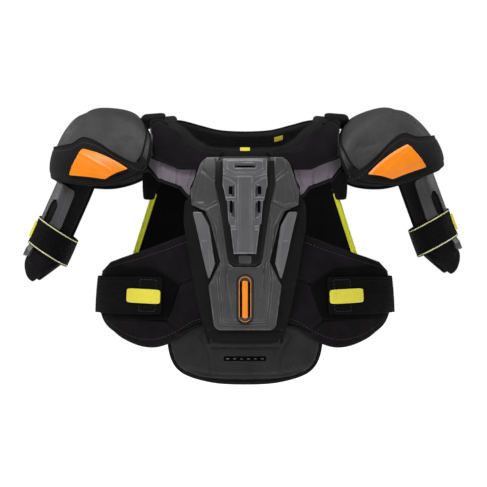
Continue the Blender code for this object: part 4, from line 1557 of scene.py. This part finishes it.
def back():
    def quilting(u, v, p):
        x, z = np.abs(p[..., 0]), p[..., 2]
        made = 0.0
        for line in BACK_SEAMS:
            made = made + seam(distance_to(x, z, line), 2.2 * MM, 1.3 * MM)
        return made

    def inner(u, v, p):
        return -quilting(u, v, p)

    lining = slab(
        "back_lining", back_place, (130, 110), BACK_LINER, edge=2.8 * MM, under=inner, corner=0.04
    )
    put(lining, "back_and_shoulders", "brushed_black", "back_liner", fill=0.5, finish="shaded_tricot")

    def outer(u, v, p):
        return quilting(u, v, p) + crown(u, v, 0.8 * MM) - 0.4 * MM

    shell = slab(
        "back_shell", back_place, (130, 110), BACK_PANEL, edge=2.8 * MM, relief=outer, corner=0.04
    )
    put(shell, "back_and_shoulders", "panel_charcoal", "back_panel", fill=0.6)
    for side in SIDES:
        for k, line in enumerate(BACK_SEAMS):
            path = resampled(line, 120)
            for j, shift in enumerate((-4.2 * MM, 4.2 * MM)):
                spots = path + (shift, 0)

                def on_back(x, z, off):
                    return torso(1, x, rise_of(x, z), off)

                row = laid(sided(side, on_back), spots, 13.2 * MM)
                sewn("back_and_shoulders", "panel_charcoal", f"back_stitches_{side}_{k}_{j}", row)

    def spine(u, v, off):
        rise = rise_by_row(v, -0.170, 0.46, 5 / 7)
        half = curve_through((-0.17, -0.13, 0.2, 0.46), (0.022, 0.034, 0.046, 0.036))(rise)
        return torso(1, (2 * u - 1) * half, rise, off)

    def vertebrae(u, v, p):
        x, z = np.abs(p[..., 0]), p[..., 2]
        half = 0.042 + 0.1 * (z + 0.1)
        raised = step_up(half - 0.016 - x, 3 * MM) * 1.3 * MM
        ribs = seam(
            np.abs(np.mod(z + 0.35 * x, 0.030) - 0.015), 1.6 * MM, 1.6 * MM
        ) * step_up(0.030 - x, 4 * MM)
        return raised + ribs + seam(np.abs(x - half + 0.007), 1.2 * MM, 0.8 * MM)

    piece = slab(
        "spine_armour", spine, (80, 150), SPINE, edge=2.2 * MM, relief=vertebrae, corner=0.10
    )
    put(piece, "back_and_shoulders", "shield_grey", "spine_plate")
    steps = np.linspace(0.02, 0.98, 120)
    hem = back_place(steps, np.full(120, 0.006), np.full(120, 6.4 * MM))
    above = back_place(steps, np.full(120, 0.006), np.full(120, 7.4 * MM))
    binding(
        "back_and_shoulders", "back_hem_binding", (hem, unit(above - hem)), 6.0 * MM, 2.6 * MM, 14
    )


def over_top(front_angle, back_angle, inner, outer):
    """Places a sheet over the shoulder from the front angle to the back one."""
    def placed(u, v, off):
        angle = between(front_angle, math.pi - back_angle, v)
        x = between(inner, outer, u)
        ahead = torso(-1, x, np.minimum(angle, math.pi / 2), off)
        behind = torso(1, x, np.minimum(math.pi - angle, math.pi / 2), off)
        return np.where((angle < math.pi / 2)[..., None], ahead, behind)

    return placed


def shoulders():
    arch = over_top(1.28, 1.13, 0.1225, 0.152)
    pad_place = over_top(1.20, 1.10, 0.1245, 0.164)
    cushion = slab(
        "shoulder_cushion_left", pad_place, (22, 30), (7.6 * MM, 20.0 * MM), edge=6.0 * MM,
        corner=0.22,
    )
    inflate(cushion, 4.0 * MM, 5.0 * MM, 0.6 * MM)

    def dents(p, n):
        return seam(np.abs(p[:, 1] - 0.004), 2.2 * MM, 1.5 * MM) * np.clip(n[:, 2], 0, 1)

    press(cushion, dents)

    def armhole_place(u, v, off):
        rise = rise_by_row(v, -0.018, 0.30, 1 / 4)
        return torso(1, between(back_half(rise) + 1.5 * MM, 0.162, u), rise, off)

    armhole = slab(
        "armhole_cushion_left", armhole_place, (16, 26), (1.6 * MM, 8.4 * MM), edge=3.4 * MM,
        corner=0.10,
    )
    inflate(armhole, 3.0 * MM, 3.0 * MM, 1.6 * MM)

    saddle = over_top(1.10, 1.02, 0.1085, 0.1290)

    def bridge(u, v, off):
        angle = between(1.15, 1.36, v)
        return torso(-1, between(0.124, 0.146, u), angle, off)

    for side, make in (("left", None), ("right", copied)):
        for name, piece, slot, node, fill in (
            ("shoulder_cushion", cushion, "brushed_black", "shoulder_pad", 0.7),
            ("armhole_cushion", armhole, "brushed_black", "armhole_pad", 0.6),
        ):
            each = make(piece, f"{name}_{side}") if make else piece
            put(each, "back_and_shoulders", slot, f"{node}_{side}", fill=fill)
        piece = slab(
            f"collar_saddle_{side}", sided(side, saddle), (20, 60), (1.0 * MM, 14.0 * MM),
            edge=5.5 * MM, corner=0.10,
        )
        put(piece, "back_and_shoulders", "brushed_black", fill=0.7, finish="collar")
        lining = slab(
            f"shoulder_lining_{side}", sided(side, arch), (20, 60), (0.0, 6 * MM), edge=2.6 * MM
        )
        put(lining, "back_and_shoulders", "brushed_black", f"shoulder_liner_{side}", fill=0.4)

        def trim(u, v, off):
            rise = between(-0.118, -0.006, v)
            half = np.interp(rise, (-0.205, -0.106, 0.0), (0.172, 0.172, 0.138))
            return torso(1, half + between(0.6 * MM, 7 * MM, u), rise, off)

        def ridge(u, v, p):
            return 0.5 * MM * np.exp(-(((u - 0.5) / 0.12) ** 2))

        piece = slab(
            f"mesh_trim_{side}", sided(side, trim), (16, 130), (3 * MM, 10 * MM), edge=2.8 * MM,
            relief=ridge,
        )
        put(piece, "back_and_shoulders", "neon_yellow", f"back_trim_{side}", finish="trim")
        gusset = slab(
            f"shoulder_gusset_{side}", sided(side, bridge), (16, 30), (-1.6 * MM, -0.5 * MM)
        )
        gusset.data.materials.append(EXTRA["shaded_tricot"])
        ends = sided(side, bridge)(np.array([0.5, 0.5]), np.array([0.2, 0.9]), np.array([-MM, -MM]))
        tuple(ends[0])
        tuple(ends[1])
        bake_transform(gusset)


# --- Shoulder caps --------------------------------------------------------------------


def rim_path(side, radius, off, start=0.0, end=1.0):
    """(points, normals) along a ring of the cap's dome."""
    count, ring = 200, end - start >= 1.0
    turn = np.linspace(start, end, count, endpoint=not ring) * 2 * math.pi
    p, q = radius * np.cos(turn), radius * np.sin(turn)
    here = cap_point(side, p, q, np.full(count, off))
    above = cap_point(side, p, q, np.full(count, off + MM))
    return here, unit(above - here)


SKIRT_TURNS = (
    0.17, 0.195, 0.215, 0.240, 0.266, 0.319, 0.360, 0.420, 0.500, 0.600, 0.700, 0.800, 0.830
)
SKIRT_REACHES = (0.93, 0.955, 0.930, 0.827, 0.696, 0.585, 0.640, 0.66, 0.66, 0.66, 0.72, 0.90, 0.93)
skirt_inner = curve_through(SKIRT_TURNS, SKIRT_REACHES)
CAP_CREASES = (
    (((0.176, -0.026), (0.186, -0.0295), (0.205, -0.0300)), 1.8 * MM, 0.9 * MM),
    (((0.262, 0.002), (0.276, -0.014), (0.284, -0.024)), 2.4 * MM, 1.6 * MM),
)


def cap(side):
    body = f"cap_{side}"

    def dome(radius):
        def placed(u, v, off):
            p, q = disc(2 * u - 1, 2 * v - 1)
            return cap_point(side, p * radius, q * radius, off)

        return placed

    def over_cap(p, q, off):
        return cap_point(side, p, q, off)

    def ribs(u, v, p):
        return 0.6 * MM * np.sin(u * 2 * math.pi * 7)

    lining = slab(
        f"cap_lining_{side}", dome(0.96), (60, 60), (-16.8 * MM, -10.8 * MM), edge=3 * MM,
        under=ribs,
    )
    put(lining, body, "brushed_black", f"cap_liner_{side}", fill=0.5, finish="shaded_tricot")
    put(
        slab(f"cap_cup_{side}", dome(0.94), (60, 60), (-7.8 * MM, -5.2 * MM)), body, "shield_grey",
        f"cap_shell_{side}",
    )

    creases = [np.array([cap_spot(*spot) for spot in line]) for line, _, _ in CAP_CREASES]

    def leather(u, v, p):
        a, b = disc(2 * u - 1, 2 * v - 1)
        reach = np.hypot(a, b)
        made = 1.4 * MM * np.clip(1 - reach**4, 0, 1)
        for line, (_, width, depth) in zip(creases, CAP_CREASES):
            far = distance_to(a, b, line) * 0.075
            made = made + seam(far, width, depth)
        turn = np.mod(np.arctan2(b, a) / (2 * math.pi), 1.0)
        folds = 0.35 * MM * np.sin(turn * 2 * math.pi * 9 + 4 * reach) * np.sin(reach * 9)
        return made + folds * np.clip(1 - reach, 0, 1)

    cover = slab(
        f"cap_leather_{side}", dome(1.0), (110, 110), (-2.0 * MM, 2.8 * MM), edge=2.3 * MM,
        relief=leather,
    )
    put(cover, body, "cap_leather", f"cap_cover_{side}", fill=0.6)
    binding(
        body, f"cap_rim_binding_{side}", rim_path(side, 1.0, 0.8 * MM), 3.6 * MM, 2.6 * MM, 14,
        ring=True,
    )
    binding(
        body, f"cap_rim_piping_{side}", rim_path(side, 0.93, 3.2 * MM, 0.80, 1.20), 1.5 * MM,
        1.5 * MM, 10,
    )

    def skirt(u, v, off):
        turn = between(SKIRT_TURNS[0], SKIRT_TURNS[-1], u)
        reach = between(skirt_inner(turn), 0.995, v)
        return cap_point(
            side, reach * np.cos(2 * math.pi * turn), reach * np.sin(2 * math.pi * turn), off
        )

    def skirt_relief(u, v, p):
        return seam(np.abs(v - 0.86), 0.03, 0.8 * MM) + seam(np.abs(v - 0.09), 0.025, 0.6 * MM)

    piece = slab(
        f"cap_band_{side}", skirt, (150, 46), (4.6 * MM, 8 * MM), edge=1.5 * MM, relief=skirt_relief
    )
    put(piece, body, "binding_black", f"cap_skirt_{side}", finish="collar")
    turn = np.linspace(SKIRT_TURNS[0] + 0.005, SKIRT_TURNS[-1] - 0.005, 150)
    for name, reach, off in (
        ("top", skirt_inner(turn), 6.6 * MM), ("low", np.full(150, 0.985), 6.2 * MM)
    ):
        spots = np.stack(
            [reach * np.cos(2 * math.pi * turn), reach * np.sin(2 * math.pi * turn)], -1
        )
        path = laid(over_cap, spots, off)
        binding(body, f"cap_band_piping_{name}_{side}", path, 2.2 * MM, 1.9 * MM, 10)
    inner = skirt_inner(turn) + 0.055
    spots = np.stack([inner * np.cos(2 * math.pi * turn), inner * np.sin(2 * math.pi * turn)], -1)
    path = laid(over_cap, spots, 8.1 * MM)
    sewn(body, "binding_black", f"cap_band_stitches_{side}", path)

    top, near, bottom, outer = (cap_spot(*c, 11 * MM) for c in CAP_ACCENT_CORNERS)

    def accent(u, v, off):
        u, v = u[..., None], v[..., None]
        low, high = between(outer, bottom, u), between(top, near, u)
        spot = between(low, high, v)
        spot = spot + np.sin(u * math.pi) * (1 - v) * (low - high) * 0.05
        return cap_point(side, spot[..., 0], spot[..., 1], off)

    def bevel(u, v, p):
        near = np.minimum(np.minimum(u * 2.4, (1 - u) * 2.0), np.minimum(v - 0.24, 0.92 - v))
        raised = step_up(near, 0.13)
        return 1.3 * MM * raised + 0.5 * MM * np.exp(
            -(((u * 0.35 + v - 0.80) / 0.05) ** 2)
        ) * raised

    piece = slab(
        f"cap_inlay_{side}", accent, (80, 56), (9.0 * MM, 11.4 * MM), edge=1.2 * MM, relief=bevel,
        corner=0.04,
    )
    put(piece, body, "orange_gloss", f"cap_accent_{side}")
    u = np.concatenate(
        [
            np.linspace(0.05, 0.95, 24), np.full(10, 1.0), np.linspace(0.95, 0.05, 24),
            np.full(10, 0.0),
        ]
    )
    v = np.concatenate(
        [
            np.full(24, 0.0), np.linspace(0.12, 0.88, 10), np.full(24, 1.0),
            np.linspace(0.88, 0.12, 10),
        ]
    )
    here, above = accent(u, v, np.full(len(u), 9.0 * MM)), accent(u, v, np.full(len(u), 10.0 * MM))
    ring = resampled(here, 180, True)
    lift = unit(resampled(above - here, 180, True))
    binding(body, f"cap_inlay_bezel_{side}", (ring, lift), 1.9 * MM, 2.2 * MM, 12, ring=True)

    def tether(u, v, off):
        return cap_point(side, between(0.86, 0.30, u), between(-0.18, 0.18, v), off)

    put(
        slab(f"cap_strap_{side}", tether, (50, 30), (-20.2 * MM, -18.2 * MM)), body,
        "elastic_black", f"cap_tether_{side}",
    )


# --- Bicep guards ---------------------------------------------------------------------

GUARD_OUTLINE = (
    (-10, 4), (30, 0), (90, 0), (150, 4), (150, 74), (136, 92), (140, 126), (90, 131), (42, 127),
    (38, 91), (14, 80), (-14, 68),
)
GUARD_WINDOW = (
    (20, 36), (31, 27), (44, 29), (50, 37), (50, 50), (50, 60), (49, 68), (47, 73), (44, 76),
    (37, 78), (28, 76), (20, 60),
)


GUARD_STEPS = 16


def matched(corners):
    """Even steps from each corner to the next, so that the two loops keep pace."""
    loop = np.array(corners + corners[:1], float)
    steps = np.arange(GUARD_STEPS)[:, None] / GUARD_STEPS
    spots = np.concatenate([between(a, b, steps) for a, b in zip(loop[:-1], loop[1:])])
    for _ in range(4):
        spots = (np.roll(spots, 1, 0) + 2 * spots + np.roll(spots, -1, 0)) / 4
    return np.concatenate([spots, spots[:1]])


def bicep(side):
    body = f"bicep_{side}"

    def pad(u, v, off):
        angle = np.radians(between(-62, 242, u))
        outside = np.maximum(0.0, np.sin(angle))
        top = between(-0.022, -0.004, outside)
        bottom = 0.160 - 0.044 * np.maximum(0.0, -np.sin(angle)) - 0.024 * outside**2
        return arm_point(side, angle, between(bottom, top, v), off)

    def quilting(u, v, p):
        lines = seam(np.abs(v - 0.075), 0.018, 1.3 * MM)
        for at in (0.14, 0.86):
            lines = lines + seam(np.abs(u - at), 0.012, 1.2 * MM)
        return lines + crown(u, v, 0.8 * MM) - 0.5 * MM

    piece = slab(
        f"bicep_cushion_{side}", pad, (120, 110), (0, 7 * MM), edge=3.2 * MM, relief=quilting,
        corner=0.05,
    )
    put(piece, body, "brushed_black", f"bicep_pad_{side}", fill=0.6)
    across = np.linspace(0.02, 0.98, 140)
    edge = laid(pad, row_at(across, 0.01), 3.4 * MM)
    binding(body, f"bicep_binding_{side}", edge, 3.2 * MM, 2.2 * MM, 12)

    outline, window = matched(GUARD_OUTLINE), matched(GUARD_WINDOW)
    turns = np.linspace(0, 1, len(outline))

    def guard_spots(u, v):
        """The angle in degrees and the distance down in millimetres."""
        return [
            between(np.interp(u, turns, window[:, k]), np.interp(u, turns, outline[:, k]), v)
            for k in (0, 1)
        ]

    def guard(u, v, off):
        angle, down = guard_spots(u, v)
        return arm_point(side, np.radians(angle), down * MM, off)

    def ridges(u, v, p):
        angle, down = guard_spots(u, v)
        lines = seam(np.abs(angle - 4 + 0.05 * down), 1.6, 0.7 * MM) + seam(
            np.abs(angle + 4 + 0.05 * down), 1.6, 0.7 * MM
        )
        rail = 1.2 * MM * np.exp(-(((angle - 62) / 8) ** 2)) * step_up(118 - down, 6)
        flare = 2.4 * MM * step_up(down - 114, 10)
        return lines * (down < 74) + rail + flare

    piece = slab(
        f"bicep_armour_{side}", guard, (len(GUARD_OUTLINE) * GUARD_STEPS, 40),
        (8.2 * MM, 10.8 * MM), edge=1.3 * MM, relief=ridges, ring=True,
    )
    put(piece, body, "guard_grey", f"bicep_guard_{side}")

    def band(u, v, off):
        angle = 2 * math.pi * u
        return arm_point(side, angle, between(0.114, 0.068, v) - 0.006 * np.sin(angle), off)

    def bars(u, v, p):
        return 0.2 * MM * np.sin(
            v * 2 * math.pi * 15
        ) + 0.5 * MM * np.sin(2 * math.pi * u * 3) * np.sin(math.pi * v)

    piece = slab(
        f"bicep_elastic_{side}", band, (160, 90), (12 * MM, 14.2 * MM), relief=bars, ring=True
    )
    put(piece, body, "elastic_black", f"bicep_band_{side}")
    around = np.linspace(0, 1, 160, endpoint=False)
    for name, share in (("low", 0.055), ("top", 0.945)):
        path = laid(band, row_at(around, share), 14.3 * MM)
        put(
            tube(f"bicep_elastic_line_{name}_{side}", path, 0.7 * MM, 0.9 * MM, 8, ring=True), body,
            "neon_yellow", finish="olive",
        )

    root = math.radians(96)

    def tab(u, v, off):
        angle = between(math.radians(58), root - 0.02, u)
        return arm_point(side, angle, between(0.104, 0.078, v) - 0.006 * np.sin(angle), off)

    piece = slab(f"bicep_pull_{side}", tab, (40, 30), (15.2 * MM, 17 * MM), corner=0.08)
    put(piece, f"bicep_tab_{side}", "neon_yellow", f"bicep_tab_{side}")

    def hanger(u, v, off):
        return arm_point(side, np.radians(between(72, 108, u)), between(0.022, -0.006, v), off)

    strap = slab(f"bicep_hanger_{side}", hanger, (16, 24), (-1.8 * MM, -0.5 * MM))
    strap.data.materials.append(LOOKS["elastic_black"])
    ends = hanger(np.array([0.5, 0.5]), np.array([0.95, 0.4]), np.array([-MM, -MM]))
    tuple(ends[0])
    tuple(ends[1])
    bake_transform(strap)


# --- Stage ----------------------------------------------------------------------------

CAMERA_DISTANCE, VIEW_PLANE, VIEW_WIDTH = 3.0, -0.10, 0.75485
CAMERA_X, CAMERA_Z = -0.002325, -0.186775
FLOOR_DROP, FLOOR_HALF = 0.20, 14.0
AIM = Vector((0, 0, -0.17))
LIGHTS = (
    ("key", (-1.1, -1.5, 2.0), 1.1, 52.0),
    ("fill", (1.9, -2.0, 0.4), 1.6, 12.0),
    ("top", (0.0, -0.2, 2.1), 1.4, 30.0),
    ("rim_left", (-1.7, 0.7, 0.9), 0.9, 12.0),
    ("rim_right", (1.7, 0.7, 0.9), 0.9, 12.0),
)


def bright_to_camera(tree, socket, low, high):
    """Sets a strength of high for what the camera sees and low for the light it gives."""
    path = tree.nodes.new("ShaderNodeLightPath")
    mixed = tree.nodes.new("ShaderNodeMath")
    mixed.operation = "MULTIPLY_ADD"
    tree.links.new(path.outputs["Is Camera Ray"], mixed.inputs[0])
    mixed.inputs[1].default_value = high - low
    mixed.inputs[2].default_value = low
    tree.links.new(mixed.outputs[0], socket)


def stage():
    """A pale floor and a white surround. Both are bright to the camera only, so that they
    don't wash out the dark fabrics; a weaker share of their light reaches the object."""
    floor_z, half = CAD_BOX[0].z - FLOOR_DROP, FLOOR_HALF
    corners = [
        (-half, -half, floor_z), (half, -half, floor_z), (half, half, floor_z),
        (-half, half, floor_z),
    ]
    data = bpy.data.meshes.new("studio_floor")
    data.from_pydata(corners, [], [(0, 1, 2, 3)])
    floor = bpy.data.objects.new("studio_floor", data)
    bpy.context.scene.collection.objects.link(floor)
    paper = bpy.data.materials.new("pale_paper")
    paper.use_nodes = True
    shader = paper.node_tree.nodes["Principled BSDF"]
    shader.inputs["Base Color"].default_value = (0.94, 0.94, 0.94, 1)
    shader.inputs["Roughness"].default_value = 0.9
    shader.inputs["Specular IOR Level"].default_value = 0.1
    shader.inputs["Emission Color"].default_value = (1, 1, 1, 1)
    bright_to_camera(paper.node_tree, shader.inputs["Emission Strength"], 0.50, 1.0)
    data.materials.append(paper)

    for name, place, size, power in LIGHTS:
        light = bpy.data.lights.new(name, "AREA")
        light.shape = "SQUARE"
        light.size = size
        light.energy = power
        lamp = bpy.data.objects.new(name, light)
        lamp.location = place
        lamp.rotation_mode = "QUATERNION"
        lamp.rotation_quaternion = (AIM - Vector(place)).to_track_quat("-Z", "Y")
        bpy.context.scene.collection.objects.link(lamp)

    world = bpy.data.worlds.new("studio")
    world.use_nodes = True
    world.node_tree.nodes["Background"].inputs[0].default_value = (1, 1, 1, 1)
    bright_to_camera(world.node_tree, world.node_tree.nodes["Background"].inputs[1], 0.08, 1.0)
    bpy.context.scene.world = world

    camera_data = bpy.data.cameras.new("camera")
    camera_data.sensor_width = 36.0
    camera_data.lens = 36.0 * CAMERA_DISTANCE / VIEW_WIDTH
    camera = bpy.data.objects.new("camera", camera_data)
    camera.location = (CAMERA_X, VIEW_PLANE - CAMERA_DISTANCE, CAMERA_Z)
    camera.rotation_euler = (math.pi / 2, 0, 0)
    bpy.context.scene.collection.objects.link(camera)
    bpy.context.scene.camera = camera
    bpy.context.scene.view_settings.view_transform = "Standard"


chest_soft()
chest_panel()
shield_and_plate()
belly()
collars()
front_shoulders()
back()
shoulders()
for side in SIDES:
    side_insert(side)
    wing(side)
    waist(side)
    cap(side)
    bicep(side)
stage()
bpy.context.view_layer.update()
